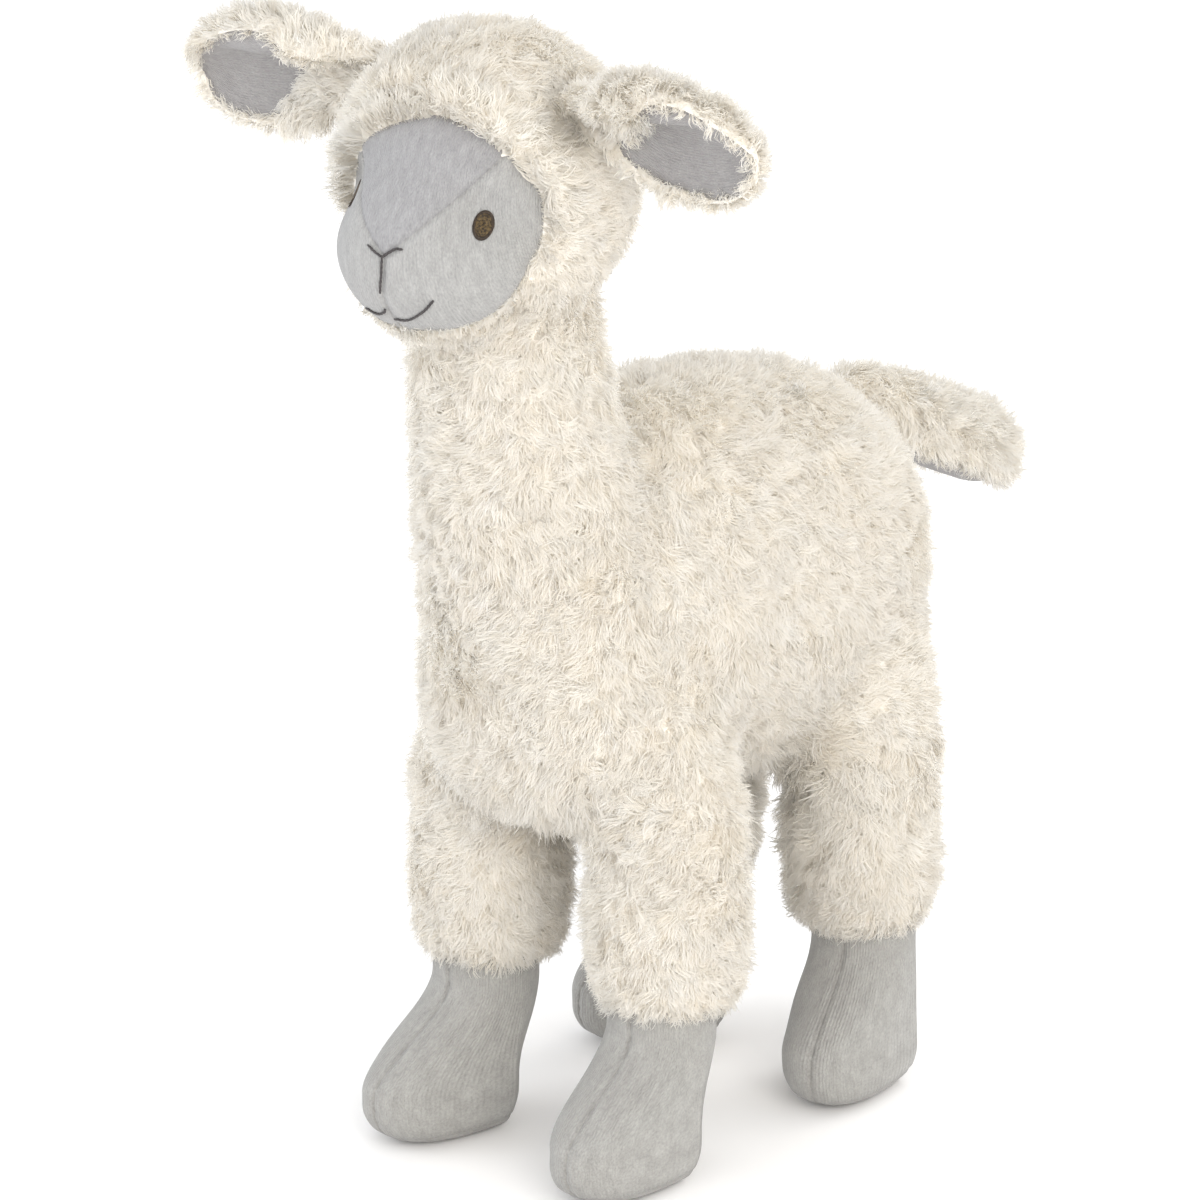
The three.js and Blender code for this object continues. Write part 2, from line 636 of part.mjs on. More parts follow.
function mouthHalf(hand) {
  return stitchedLine(MOUTH[hand].map(([azimuth, elevation]) => ({ azimuth, elevation })));
}

function buildHead(group) {
  const skin = faceSolid(0);
  const lining = faceSolid(-VELOUR);
  const opening = (inset) => turned([
    [0, -HEAD_RADIUS - FUR_DEPTH],
    [NECK_TOP_RADIUS - FUR_DEPTH - inset, -HEAD_RADIUS - FUR_DEPTH],
    [NECK_TOP_RADIUS - FUR_DEPTH - inset, 0],
    [0, 0],
  ], HEAD, NECK_AXIS);
  const furBall = headBall(0);
  const earSockets = [1, -1].map((side) => socket(earRoot(side), EAR_ROOT_RADIUS, AHEAD));
  const cover = cut(furBall, [lining, maskWedge(SEAM_GAP), opening(0), ...earSockets]);
  piece(group, 'head_cover', cover, FUR);

  const face = skin.subtract(lining).intersect(maskWedge(0));
  piece(group, 'face_forehead_panel', face.intersect(gussetWedge(0)), VELOUR_GREY);
  const cheeks = face.subtract(gussetWedge(SEAM_GAP));
  const noseX = direction(FACE_TURN, GUSSET_APEX).x * HEAD_RADIUS;
  piece(group, 'face_left_cheek', sideOf(cheeks, noseX, 1), VELOUR_GREY);
  piece(group, 'face_right_cheek', sideOf(cheeks, noseX, -1), VELOUR_GREY);

  const plug = cut(furBall.intersect(opening(SEAM_GAP)), earSockets);
  const stuffing = cut(faceSolid(-VELOUR - SEAM_GAP), earSockets);
  piece(group, 'head_filling', stuffing.add(plug), FILLING);

  const clear = faceSolid(SEAM_GAP);
  const patch = faceSolid(SEAM_GAP + EYE_RAISE).subtract(clear);
  piece(group, 'left_eye', patch.intersect(eyeWedge(1)), EYE_THREAD);
  piece(group, 'right_eye', patch.intersect(eyeWedge(-1)), EYE_THREAD);
  piece(group, 'nose_stitching', nose().subtract(clear), LINE_THREAD);
  piece(group, 'mouth_left_stitching', mouthHalf('left').subtract(clear), LINE_THREAD);
  piece(group, 'mouth_right_stitching', mouthHalf('right').subtract(clear), LINE_THREAD);
}

// Ears and tail: fur leaves with a velour lining, each on a rounded root

// Leaf from root along run. Rings bow by bend(v), v from -1 to 1 across; front and back are
// the fullness to each side of the bow.
function leaf(form) {
  const { root, run, across, facing, length, half, front, back, bend, shift, start, end } = form;
  const spot = (t, sideways, forward) => root.clone()
    .addScaledVector(run, lerp(start, end, t) * length)
    .addScaledVector(across, sideways)
    .addScaledVector(facing, forward + shift);
  const ring = (t) => {
    const share = leafShare(t, form.rootShare);
    const deep = Math.min(1, share * LEAF_SWELL);
    return around(LEAF_SEGMENTS, (angle) => {
      const v = Math.cos(angle);
      const full = Math.sin(angle) * deep * (Math.sin(angle) > 0 ? front : back);
      return spot(t, v * half * share, full + bend(v) * share);
    });
  };
  const rings = Array.from({ length: LEAF_STEPS }, (_, k) => {
    const t = k / LEAF_STEPS;
    return ring(Math.sin((Math.PI / 2) * t * (2 - t)));
  });
  return loft(rings, spot(0, 0, 0), spot(1, 0, 0));
}

// Share of the full width along a leaf: a narrow root, then widest, then a round tip.
function leafShare(t, rootShare) {
  const grow = lerp(rootShare, 1, smooth(t / LEAF_WIDEST));
  return grow * superellipse(Math.max(0, t - LEAF_WIDEST) / (1 - LEAF_WIDEST), LEAF_TIP);
}

function earRoot(side) {
  const aim = direction(side * EAR_ROOT_AZIMUTH, EAR_ROOT_ELEVATION);
  return HEAD.clone().addScaledVector(aim, HEAD_RADIUS);
}

function buildEar(group, side, name) {
  const root = earRoot(side);
  const run = direction(side * (90 - EAR_SWEEP), side * EAR_TILT - EAR_DROOP);
  const ahead = direction(0, -EAR_FACE_DOWN);
  const across = run.clone().cross(ahead).multiplyScalar(-side).normalize();
  const facing = across.clone().cross(run).multiplyScalar(-side).normalize();
  const bend = (v) => EAR_CUP * v * v + EAR_CURL * Math.max(0, v - EAR_CURL_START) ** 2;
  const shape = { root, run, across, facing, length: EAR_LENGTH, bend, rootShare: EAR_ROOT_SHARE };
  const fur = (grow) => leaf({ ...shape, half: EAR_HALF_WIDTH + grow, front: EAR_FACING + grow,
    back: EAR_FUR + grow, shift: 0, start: 0, end: 1 + grow / EAR_LENGTH });
  const head = headBall(SEAM_GAP);
  const headClear = [head, swung(head, root, [0, -side * EAR_FLOP, 0])];
  const rootBall = ball(root, EAR_ROOT_RADIUS, AHEAD);
  piece(group, `${name}_ear_back`, cut(fur(0), headClear).add(rootBall), FUR);

  const facingLeaf = leaf({ ...shape, half: EAR_HALF_WIDTH - EAR_RIM, front: EAR_FACING,
    back: EAR_FACING, shift: VELOUR + SEAM_GAP, start: EAR_ROOT_RADIUS / EAR_LENGTH,
    end: 1 - EAR_RIM / EAR_LENGTH });
  const clear = [fur(SEAM_GAP), ...headClear, socket(root, EAR_ROOT_RADIUS, AHEAD)];
  piece(group, `${name}_ear_lining`, cut(facingLeaf, clear), VELOUR_GREY);
}

const TAIL_ROOT = point(0, TAIL_Y, TAIL_Z);

function buildTail(group) {
  const slope = rad(TAIL_DROOP);
  const run = point(0, Math.cos(slope), -Math.sin(slope));
  const facing = point(0, -Math.sin(slope), -Math.cos(slope));
  const bend = (v) => TAIL_ARCH * v * v;
  const shape = { root: TAIL_ROOT, run, across: ACROSS, facing, length: TAIL_LENGTH, bend,
    rootShare: TAIL_ROOT_SHARE };
  const fur = (grow) => leaf({ ...shape, half: TAIL_HALF_WIDTH + grow, front: TAIL_BELLY + grow,
    back: TAIL_FUR + grow, shift: 0, start: 0, end: 1 + grow / TAIL_LENGTH });
  const body = bodyOuter(SEAM_GAP);
  const bodyClear = [body, swung(body, TAIL_ROOT, [TAIL_SINK, 0, 0])];
  const rootBall = ball(TAIL_ROOT, TAIL_ROOT_RADIUS, ACROSS);
  piece(group, 'tail_top', cut(fur(0), bodyClear).add(rootBall), FUR);

  const facingLeaf = leaf({ ...shape, half: TAIL_HALF_WIDTH - TAIL_RIM, front: TAIL_BELLY,
    back: TAIL_BELLY, shift: VELOUR + SEAM_GAP, start: TAIL_ROOT_RADIUS / TAIL_LENGTH,
    end: 1 - TAIL_RIM / TAIL_LENGTH });
  const clear = [fur(SEAM_GAP), ...bodyClear, socket(TAIL_ROOT, TAIL_ROOT_RADIUS, ACROSS)];
  piece(group, 'tail_lining', cut(facingLeaf, clear), VELOUR_GREY);
}

const llama = new THREE.Group();
llama.name = 'plush_llama';
buildBody(llama);
legs.forEach((leg) => buildLeg(llama, leg));
buildNeck(llama);
buildHead(llama);
buildEar(llama, 1, 'left');
buildEar(llama, -1, 'right');
buildTail(llama);

export default llama;
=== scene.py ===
"""Looks of the plush llama: pile fabric, velour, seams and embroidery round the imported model."""

import math

import bpy
import numpy as np
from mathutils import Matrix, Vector
from mathutils.kdtree import KDTree


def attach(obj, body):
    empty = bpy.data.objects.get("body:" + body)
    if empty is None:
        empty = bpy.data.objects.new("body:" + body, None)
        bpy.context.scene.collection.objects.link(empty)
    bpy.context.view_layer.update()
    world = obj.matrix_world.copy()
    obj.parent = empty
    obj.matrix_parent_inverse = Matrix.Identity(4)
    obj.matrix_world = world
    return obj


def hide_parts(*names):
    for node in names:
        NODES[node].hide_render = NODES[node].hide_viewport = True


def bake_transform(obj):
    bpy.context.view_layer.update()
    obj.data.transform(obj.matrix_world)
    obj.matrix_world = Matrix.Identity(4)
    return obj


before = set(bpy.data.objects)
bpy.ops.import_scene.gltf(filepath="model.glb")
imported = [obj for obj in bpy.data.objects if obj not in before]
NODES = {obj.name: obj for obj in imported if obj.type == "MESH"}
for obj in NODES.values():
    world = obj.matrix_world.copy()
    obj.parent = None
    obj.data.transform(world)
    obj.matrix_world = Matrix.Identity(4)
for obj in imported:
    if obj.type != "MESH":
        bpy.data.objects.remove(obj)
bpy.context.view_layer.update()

MM = 0.001
UP = np.array([0.0, 0.0, 1.0])
BACK = np.array([0.0, 1.0, 0.0])

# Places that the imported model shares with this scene, in metres
HEAD = np.array([0.0, -0.1038, 0.321])
SKULL = 0.040
MUZZLE_CENTRE = np.array([0.0, -0.0245, -0.0165])
MUZZLE_SIZE = np.array([0.032, 0.0245, 0.028])
MUZZLE_BLEND = 0.006
MASK_MIDDLE, MASK_HALF_WIDTH, MASK_TOP, MASK_BOTTOM = -5.0, 65.0, 48.0, 41.0
MASK_TOP_SHAPE, MASK_BOTTOM_SHAPE = 1.9, 2.8
FRINGE_HALF_WIDTH, FRINGE_TOP, FRINGE_SHAPE, FRINGE_TURN, FRINGE_SKEW = 60.0, 44.0, 1.55, 7.0, 0.20
GUSSET_APEX, GUSSET_SIDE, GUSSET_HALF_WIDTH, GUSSET_FLARE = -17.0, 24.0, 48.0, 0.9
FACE_TURN = 3.0
NECK_FOOT = np.array([0.0, -0.090034, 0.234083])
NECK_AXIS = np.array([0.0, -0.156434, 0.987688])
CUFF_Z = 0.0545
SIDES = {"left": 1, "right": -1}
# For each leg: its side, the x and y of its axis, and its radius
LEG_X, LEG_ENDS = 0.036, {"front": (-0.0618, 0.0255), "back": (0.0352, 0.025)}
LEGS = {
    f"{end}_{hand}": (side, side * LEG_X, *place)
    for hand, side in SIDES.items() for end, place in LEG_ENDS.items()
}
# How far each boot's ankle is set ahead of its leg, how much further its foot, and degrees of toe-out
BOOT_SET = {leg: (0.0025, 0.006, 4.0) if leg.startswith("front") else (-0.002, 0.0, 16.0) for leg in LEGS}


def smooth(t):
    t = np.clip(t, 0.0, 1.0)
    return t * t * (3 - 2 * t)


def unit(v):
    return v / np.maximum(np.linalg.norm(v, axis=-1, keepdims=True), 1e-12)


def direction(azimuth, elevation):
    """Unit aims from the head's middle, in degrees; azimuth 0 is straight ahead."""
    a, e = np.radians(azimuth), np.radians(elevation)
    a, e = np.broadcast_arrays(a, e)
    return np.stack([np.sin(a) * np.cos(e), -np.cos(a) * np.cos(e), np.sin(e)], -1)


# Camera and light

LAMP_AIM = Vector((0, -0.02, 0.18))
DOME_COLOUR, DOME_STRENGTH = (0.96, 0.98, 1.0, 1), 1.06
WHITE = (1, 1, 1, 1)


def aimed(data, place, aim):
    """A camera or lamp in the scene, looking along aim."""
    obj = bpy.data.objects.new(data.name, data)
    obj.location = place
    obj.rotation_mode = "QUATERNION"
    obj.rotation_quaternion = Vector(aim).to_track_quat("-Z", "Y")
    bpy.context.scene.collection.objects.link(obj)
    return obj


def make_camera():
    azimuth, elevation, distance = 39.5, 17.5, 2.2
    target = np.array([0.0, -0.0178, 0.180])
    focal, frame_px = 7040.0, 1200.0
    foot, foot_px = np.array([0.0, -0.0778, 0.0]), (547.0, 1150.0)
    back, right = direction(azimuth, elevation), direction(azimuth + 90, 0.0)
    up = np.cross(back, right)
    eye = target + back * distance
    seen = foot - eye
    depth = -seen @ back
    across = foot_px[0] - focal * (seen @ right) / depth - frame_px / 2
    down = foot_px[1] + focal * (seen @ up) / depth - frame_px / 2
    aim = -back * focal - right * across + up * down
    data = bpy.data.cameras.new("camera")
    data.lens = focal / frame_px * data.sensor_width
    bpy.context.scene.camera = aimed(data, eye, aim)


def area_light(name, place, size, power, colour):
    data = bpy.data.lights.new(name, "AREA")
    data.shape, data.size, data.energy, data.color = "DISK", size, power, colour
    aimed(data, place, LAMP_AIM - Vector(place))


def make_world():
    """Soft light from all round, behind a background that shows as plain white."""
    world = bpy.data.worlds.new("studio")
    bpy.context.scene.world = world
    world.use_nodes = True
    nodes, links = world.node_tree.nodes, world.node_tree.links
    nodes.clear()
    kinds = "OutputWorld", "MixShader", "LightPath"
    out, mix, path = (nodes.new(f"ShaderNode{kind}") for kind in kinds)
    for place, colour, strength in ((1, DOME_COLOUR, DOME_STRENGTH), (2, WHITE, 1.0)):
        light = nodes.new("ShaderNodeBackground")
        light.inputs["Color"].default_value = colour
        light.inputs["Strength"].default_value = strength
        links.new(light.outputs[0], mix.inputs[place])
    seen = path.outputs["Is Camera Ray"]
    for kind in ("Is Glossy Ray", "Is Transmission Ray"):
        either = nodes.new("ShaderNodeMath")
        either.operation = "MAXIMUM"
        links.new(seen, either.inputs[0])
        links.new(path.outputs[kind], either.inputs[1])
        seen = either.outputs[0]
    links.new(seen, mix.inputs["Fac"])
    links.new(mix.outputs[0], out.inputs["Surface"])


bpy.context.scene.view_settings.view_transform = "Standard"
make_camera()
make_world()
area_light("key", (1.9, -1.2, 0.95), 1.8, 34.0, (1.0, 0.97, 0.92))
area_light("fill", (-1.5, -1.4, 0.8), 1.8, 17.0, (0.93, 0.96, 1.0))
area_light("rim", (0.3, 1.8, 1.5), 1.6, 14.0, (1.0, 0.98, 0.95))


# Mesh helpers

def new_object(name, verts, faces, material, sizes=None):
    """A mesh object; sizes gives each face's corner count where the faces differ in it."""
    mesh = bpy.data.meshes.new(name)
    verts, faces = np.asarray(verts, np.float32).reshape(-1, 3), np.asarray(faces, np.int32)
    if sizes is None:
        sizes = np.full(len(faces), faces.shape[1])
    starts = np.concatenate([[0], np.cumsum(sizes)[:-1]])
    mesh.vertices.add(len(verts))
    mesh.vertices.foreach_set("co", verts.ravel())
    mesh.loops.add(faces.size)
    mesh.loops.foreach_set("vertex_index", faces.ravel())
    mesh.polygons.add(len(sizes))
    mesh.polygons.foreach_set("loop_start", starts.astype(np.int32))
    mesh.polygons.foreach_set("use_smooth", np.ones(len(sizes), bool))
    mesh.update(calc_edges=True)
    mesh.materials.append(material)
    obj = bpy.data.objects.new(name, mesh)
    bpy.context.scene.collection.objects.link(obj)
    return obj


def stand_in(nodes):
    """Hides the imported nodes that a piece stands for."""
    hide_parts(*nodes)


def grid_quads(rows, columns, closed=False):
    """Quads between the points of a grid, row by row; closed joins the last column to the first."""
    r = np.arange(rows - 1)[:, None]
    c = np.arange(columns if closed else columns - 1)[None, :]
    after = (c + 1) % columns
    return np.stack([r * columns + c, r * columns + after,
                     (r + 1) * columns + after, (r + 1) * columns + c], -1).reshape(-1, 4)


def set_values(obj, name, values):
    attribute = obj.data.attributes.new(name, "FLOAT", "POINT")
    attribute.data.foreach_set("value", np.ravel(values).astype(np.float32))


def set_uv(obj, name, u, v):
    """A UV map from one u and v per vertex."""
    corners = np.empty(len(obj.data.loops), np.int32)
    obj.data.loops.foreach_get("vertex_index", corners)
    pairs = np.stack([np.ravel(u), np.ravel(v)], 1).astype(np.float32)
    obj.data.uv_layers.new(name=name).data.foreach_set("uv", pairs[corners].ravel())


def arrays_of(mesh):
    verts = np.empty(len(mesh.vertices) * 3, np.float32)
    mesh.vertices.foreach_get("co", verts)
    mesh.calc_loop_triangles()
    tris = np.empty(len(mesh.loop_triangles) * 3, np.int32)
    mesh.loop_triangles.foreach_get("vertices", tris)
    return verts.reshape(-1, 3).astype(float), tris.reshape(-1, 3)


def face_normals(verts, tris):
    """Normals of the triangles, each as long as twice its area."""
    a, b, c = (verts[tris[:, k]] for k in range(3))
    return np.cross(b - a, c - a)


def vertex_normals(verts, tris):
    face = face_normals(verts, tris)
    total = np.zeros_like(verts)
    for k in range(3):
        np.add.at(total, tris[:, k], face)
    return unit(total)


def spread(values, tris, rounds):
    """Averages values over each vertex and its neighbours, several times."""
    pairs = np.concatenate([tris[:, [0, 1]], tris[:, [1, 2]], tris[:, [2, 0]]])
    count = np.ones(len(values))
    np.add.at(count, pairs[:, 0], 1)
    for _ in range(rounds):
        total = values.copy()
        np.add.at(total, pairs[:, 0], values[pairs[:, 1]])
        values = total / count[:, None]
    return values


def part_of(verts, tris, keep):
    """The triangles that keep marks, with their own vertices, and the old number of each vertex."""
    tris = tris[keep]
    used = np.unique(tris)
    number = np.zeros(len(verts), int)
    number[used] = np.arange(len(used))
    return verts[used], number[tris], used


def largest_part(verts, tris):
    """The connected part with the most vertices."""
    label = np.arange(len(verts))
    while True:
        low = label[tris].min(1)
        before = label.copy()
        for k in range(3):
            np.minimum.at(label, tris[:, k], low)
        label = label[label]
        if np.array_equal(label, before):
            break
    main = np.bincount(label).argmax()
    return part_of(verts, tris, label[tris[:, 0]] == main)[:2]


def fused(names, voxel, rounds):
    """One closed skin round copies of the named solids, remeshed and smoothed."""
    verts, corners, base = [], [], 0
    for name in names:
        v, t = arrays_of(NODES[name].data)
        verts.append(v)
        corners.append(t + base)
        base += len(v)
    obj = new_object("fused", np.concatenate(verts), np.concatenate(corners), None)
    remesh = obj.modifiers.new("remesh", "REMESH")
    remesh.mode, remesh.voxel_size = "VOXEL", voxel
    ease = obj.modifiers.new("ease", "SMOOTH")
    ease.factor, ease.iterations = 0.5, rounds
    shape = obj.evaluated_get(bpy.context.evaluated_depsgraph_get()).to_mesh()
    found = arrays_of(shape)
    bpy.data.objects.remove(obj)
    return largest_part(*found)


def waves(spots, pitch, seed):
    """A smooth random field of unit spread, with bumps about pitch across."""
    draw = np.random.default_rng(seed)
    count = 8
    aims = unit(draw.normal(size=(count, 3))) * (math.tau / pitch)
    return np.sin(spots @ aims.T + draw.uniform(0, math.tau, count)).sum(1) / math.sqrt(count / 2)


def spline(points, where):
    """Smooth lines through control points laid along the next to last axis, read from -1 to 1."""
    count = points.shape[-2]
    u = np.broadcast_to((where + 1) / 2 * (count - 1), (len(points), where.shape[-1]))
    k = np.clip(u.astype(int), 0, count - 2)
    f = (u - k)[..., None]
    ends = 2 * points[:, :1] - points[:, 1:2], 2 * points[:, -1:] - points[:, -2:-1]
    p = np.concatenate([ends[0], points, ends[1]], 1)
    row = np.arange(len(points))[:, None]
    a, b, c, d = (p[row, k + i] for i in range(4))
    return 0.5 * (2 * b + (c - a) * f + (2 * a - 5 * b + 4 * c - d) * f**2 + (3 * b - a - 3 * c + d) * f**3)


# Materials

# Millimetres between the velour's knit columns
KNIT_PITCH = 0.9


def new_material(name, rough):
    material = bpy.data.materials.new(name)
    material.use_nodes = True
    tree = material.node_tree
    shader = tree.nodes["Principled BSDF"]
    shader.inputs["Roughness"].default_value = rough
    shader.inputs["Specular IOR Level"].default_value = 0.25
    return material, tree, shader


def add(tree, kind, settings=None, **inputs):
    """A new shader node; each input is a plain value, or another node's output to link."""
    node = tree.nodes.new(f"ShaderNode{kind}")
    for name, value in (settings or {}).items():
        setattr(node, name, value)
    for name, value in inputs.items():
        if isinstance(value, bpy.types.NodeSocket):
            tree.links.new(value, node.inputs[name])
        else:
            node.inputs[name].default_value = value
    return node


def attribute(tree, name):
    return add(tree, "Attribute", {"attribute_name": name}).outputs["Fac"]


def ramp(tree, factor, *stops):
    node = add(tree, "ValToRGB", Fac=factor)
    elements = node.color_ramp.elements
    while len(elements) < len(stops):
        elements.new(0.5)
    for element, (place, colour) in zip(elements, stops):
        element.position, element.color = place, (*colour, 1)
    return node.outputs["Color"]


def multiply(tree, a, b):
    kind = {"data_type": "RGBA", "blend_type": "MULTIPLY"}
    return add(tree, "Mix", kind, Factor=1.0, A=a, B=b).outputs["Result"]


def noise(tree, vector, scale, detail=3.0, rough=0.55):
    return add(tree, "TexNoise", Vector=vector, Scale=scale, Detail=detail, Roughness=rough).outputs["Fac"]


def stretched(tree, vector, scale):
    return add(tree, "Mapping", Vector=vector, Scale=scale).outputs["Vector"]


def bump(tree, height, distance, strength, **below):
    return add(tree, "Bump", Height=height, Distance=distance, Strength=strength, **below).outputs["Normal"]


def paint(tree, shader, colour, normal):
    tree.links.new(colour, shader.inputs["Base Color"])
    tree.links.new(normal, shader.inputs["Normal"])


def fur_material():
    """Pile: cream, each fibre with its own tint, and warmer and darker towards the root as painted shade
    deep in the pile.
    """
    material, tree, shader = new_material("cream_pile", 0.75)
    # The root end of this ramp is darker and warmer: painted shade deep in the pile
    length = ramp(
        tree, attribute(tree, "along"), (0.0, (0.95, 0.925, 0.875)), (0.4, (0.965, 0.947, 0.91)),
        (0.75, (0.975, 0.96, 0.93)), (1.0, (0.98, 0.97, 0.95)))
    tint = ramp(
        tree, attribute(tree, "tint"), (0.0, (0.955, 0.93, 0.885)), (0.3, (0.975, 0.96, 0.935)),
        (0.7, (0.99, 0.983, 0.965)), (1.0, (1.0, 1.0, 1.0)))
    colour = multiply(tree, length, tint)
    tree.links.new(colour, shader.inputs["Base Color"])
    through = add(tree, "BsdfTranslucent", Color=colour)
    mix = add(tree, "MixShader", Fac=0.6)
    tree.links.new(shader.outputs[0], mix.inputs[1])
    tree.links.new(through.outputs[0], mix.inputs[2])
    tree.links.new(mix.outputs[0], tree.nodes["Material Output"].inputs["Surface"])
    return material


def backing_material():
    """Knitted backing that carries the pile, seen only between the tufts."""
    material, tree, shader = new_material("pile_backing", 0.9)
    where = add(tree, "TexCoord").outputs["Object"]
    colour = ramp(tree, noise(tree, where, 420.0), (0.3, (0.92, 0.88, 0.82)), (0.7, (0.97, 0.94, 0.89)))
    paint(tree, shader, colour, bump(tree, noise(tree, where, 1500.0), 0.0004, 0.8))
    return material


def velour_material(name, light, dark):
    """Short grey nap over a fine knit: columns, brushed mottling, a soft sheen and painted shade along the
    seams.
    """
    material, tree, shader = new_material(name, 0.88)
    shader.inputs["Sheen Weight"].default_value = 0.2
    shader.inputs["Sheen Roughness"].default_value = 0.45
    shader.inputs["Sheen Tint"].default_value = (0.95, 0.95, 1.0, 1)
    nap = add(tree, "UVMap", {"uv_map": "Nap"}).outputs["UV"]
    brushed = noise(tree, stretched(tree, nap, (1.0, 0.45, 1.0)), 0.42, 5.0, 0.62)
    middle = tuple((a + b) / 2 for a, b in zip(light, dark))
    colour = ramp(tree, brushed, (0.3, dark), (0.52, middle), (0.72, light))
    fibres = noise(tree, stretched(tree, nap, (1.0, 0.5, 1.0)), 2.4, 2.0, 0.6)
    shade = ramp(tree, fibres, (0.25, (0.72, 0.72, 0.73)), (0.72, (1.0, 1.0, 1.0)))
    # Darker where the seam attribute is high: painted shade in the seam grooves
    painted_seam_shade = ramp(tree, attribute(tree, "seam"), (0.0, (1.0, 1.0, 1.0)), (1.0, (0.84, 0.835, 0.83)))
    wave = add(
        tree, "TexWave", {"wave_type": "BANDS", "bands_direction": "X"}, Vector=nap,
        Scale=1 / KNIT_PITCH * math.pi / 10, Distortion=1.2, Detail=2.0, **{"Detail Scale": 1.5})
    columns = bump(tree, wave.outputs["Fac"], 0.00022, 0.7)
    naps = bump(tree, fibres, 0.0005, 0.6, Normal=columns)
    paint(tree, shader, multiply(tree, multiply(tree, colour, shade), painted_seam_shade),
          bump(tree, brushed, 0.0006, 0.5, Normal=naps))
    return material


def thread_material(name, light, dark, grain):
    """Glossy embroidery thread with fine twisted fibres."""
    material, tree, shader = new_material(name, 0.45)
    fibres = noise(tree, add(tree, "TexCoord").outputs["Object"], grain, 2.0)
    paint(tree, shader, ramp(tree, fibres, (0.38, dark), (0.64, light)), bump(tree, fibres, 0.0001, 0.5))
    return material


def make_floor():
    size = 6.0
    material, _, shader = new_material("floor_paper", 0.95)
    shader.inputs["Base Color"].default_value = (0.955, 0.94, 0.93, 1)
    shader.inputs["Specular IOR Level"].default_value = 0.1
    corners = [(-size, -size, 0), (size, -size, 0), (size, size, 0), (-size, size, 0)]
    new_object("floor", corners, [(0, 1, 2, 3)], material)


make_floor()
FUR = fur_material()
BACKING = backing_material()
# The cheeks' and the forehead's velour are lit and shaded copies of one fabric: the forehead's darker copy
# is painted shade from the way its nap takes the light, the cheeks' lighter copy painted light
LIT_CHEEK_VELOUR = velour_material("lit_cheek_velour", (0.450, 0.444, 0.432), (0.355, 0.35, 0.341))
SHADED_BROW_VELOUR = velour_material("shaded_brow_velour", (0.406, 0.400, 0.403), (0.317, 0.312, 0.315))
BOOT_VELOUR = velour_material("boot_velour", (0.436, 0.426, 0.40), (0.335, 0.325, 0.305))
LINING_VELOUR = velour_material("lining_velour", (0.40, 0.385, 0.38), (0.31, 0.297, 0.293))
EYE_FILL = thread_material("eye_fill_thread", (0.140, 0.095, 0.042), (0.024, 0.017, 0.011), 1500.0)
EYE_RIM = thread_material("eye_rim_thread", (0.060, 0.040, 0.026), (0.022, 0.016, 0.012), 1500.0)
LINE_THREAD = thread_material("line_thread", (0.085, 0.075, 0.075), (0.03, 0.027, 0.028), 2600.0)


# Fur

PILE_DEPTH = 0.0040
STRAND_ROWS = np.array([0.0, 0.34, 0.66, 0.87])
STRAND_WIDTHS = np.array([1.0, 1.0, 0.85, 0.5])
STRAND_WIDTH = 0.00033
STRAND_STEPS = np.append(STRAND_ROWS, 1.0)
MOST_STRANDS = 27000
# How tufts and strands differ: ranges of shares, then spreads, then limits
TUFT_LENGTHS, STRAND_LENGTHS = (0.78, 1.22), (0.8, 1.1)
STRAND_GATHERS, STRAND_THICKNESSES = (0.55, 1.15), (0.65, 1.35)
TUFT_UNEVEN, STRAND_UNEVEN, TUFT_TONE, STRAND_TONE, STRAND_TWIST = 0.07, 0.14, 0.17, 0.2, 0.5
LOOSE_LIE, CURL_UNEVEN, CURL_SIZES = 0.05, 0.6, (0.4, 1.4)
LEAST_TUFT_RISE, LEAST_RISE, MOST_RISE, MOST_GATHER = 0.2, 0.15, 0.95, 0.92
# Where a strand bends over: shares of its rise and of its length sideways
KNEE_RISE, KNEE_LEAN = 0.62, 0.12


def scatter(verts, tris, normals, density, draw):
    """Random roots over a skin, density to the square metre, with their normals."""
    area = np.linalg.norm(face_normals(verts, tris), axis=1) / 2
    total = np.cumsum(area)
    count = int(total[-1] * density)
    pick = np.searchsorted(total, draw.uniform(0, total[-1], count))
    pick = np.minimum(pick, len(tris) - 1)
    u, v = np.sqrt(draw.uniform(size=count)), draw.uniform(size=count)
    share = np.stack([1 - u, u * (1 - v), u * v], 1)[:, :, None]
    return (verts[tris[pick]] * share).sum(1), unit((normals[tris[pick]] * share).sum(1))


def tangent(v, n):
    return v - n * (v * n).sum(1, keepdims=True)


def turned(v, n, angle):
    """v in the plane of n, turned about n."""
    c, s = np.cos(angle)[:, None], np.sin(angle)[:, None]
    return v * c + np.cross(n, v) * s


def nearest(centres, spots):
    tree = KDTree(len(centres))
    for k, p in enumerate(centres):
        tree.insert(p, k)
    tree.balance()
    return np.array([tree.find(p)[1] for p in spots])


def tips(spots, normals, lie, long, rise, reach):
    """Ends of straight strands that rise along the normals by a share of their length, and lean over."""
    lean = np.sqrt(np.maximum(1 - rise**2, 0.05)) * reach
    return spots + normals * (long * rise)[:, None] + lie * (long * lean)[:, None]


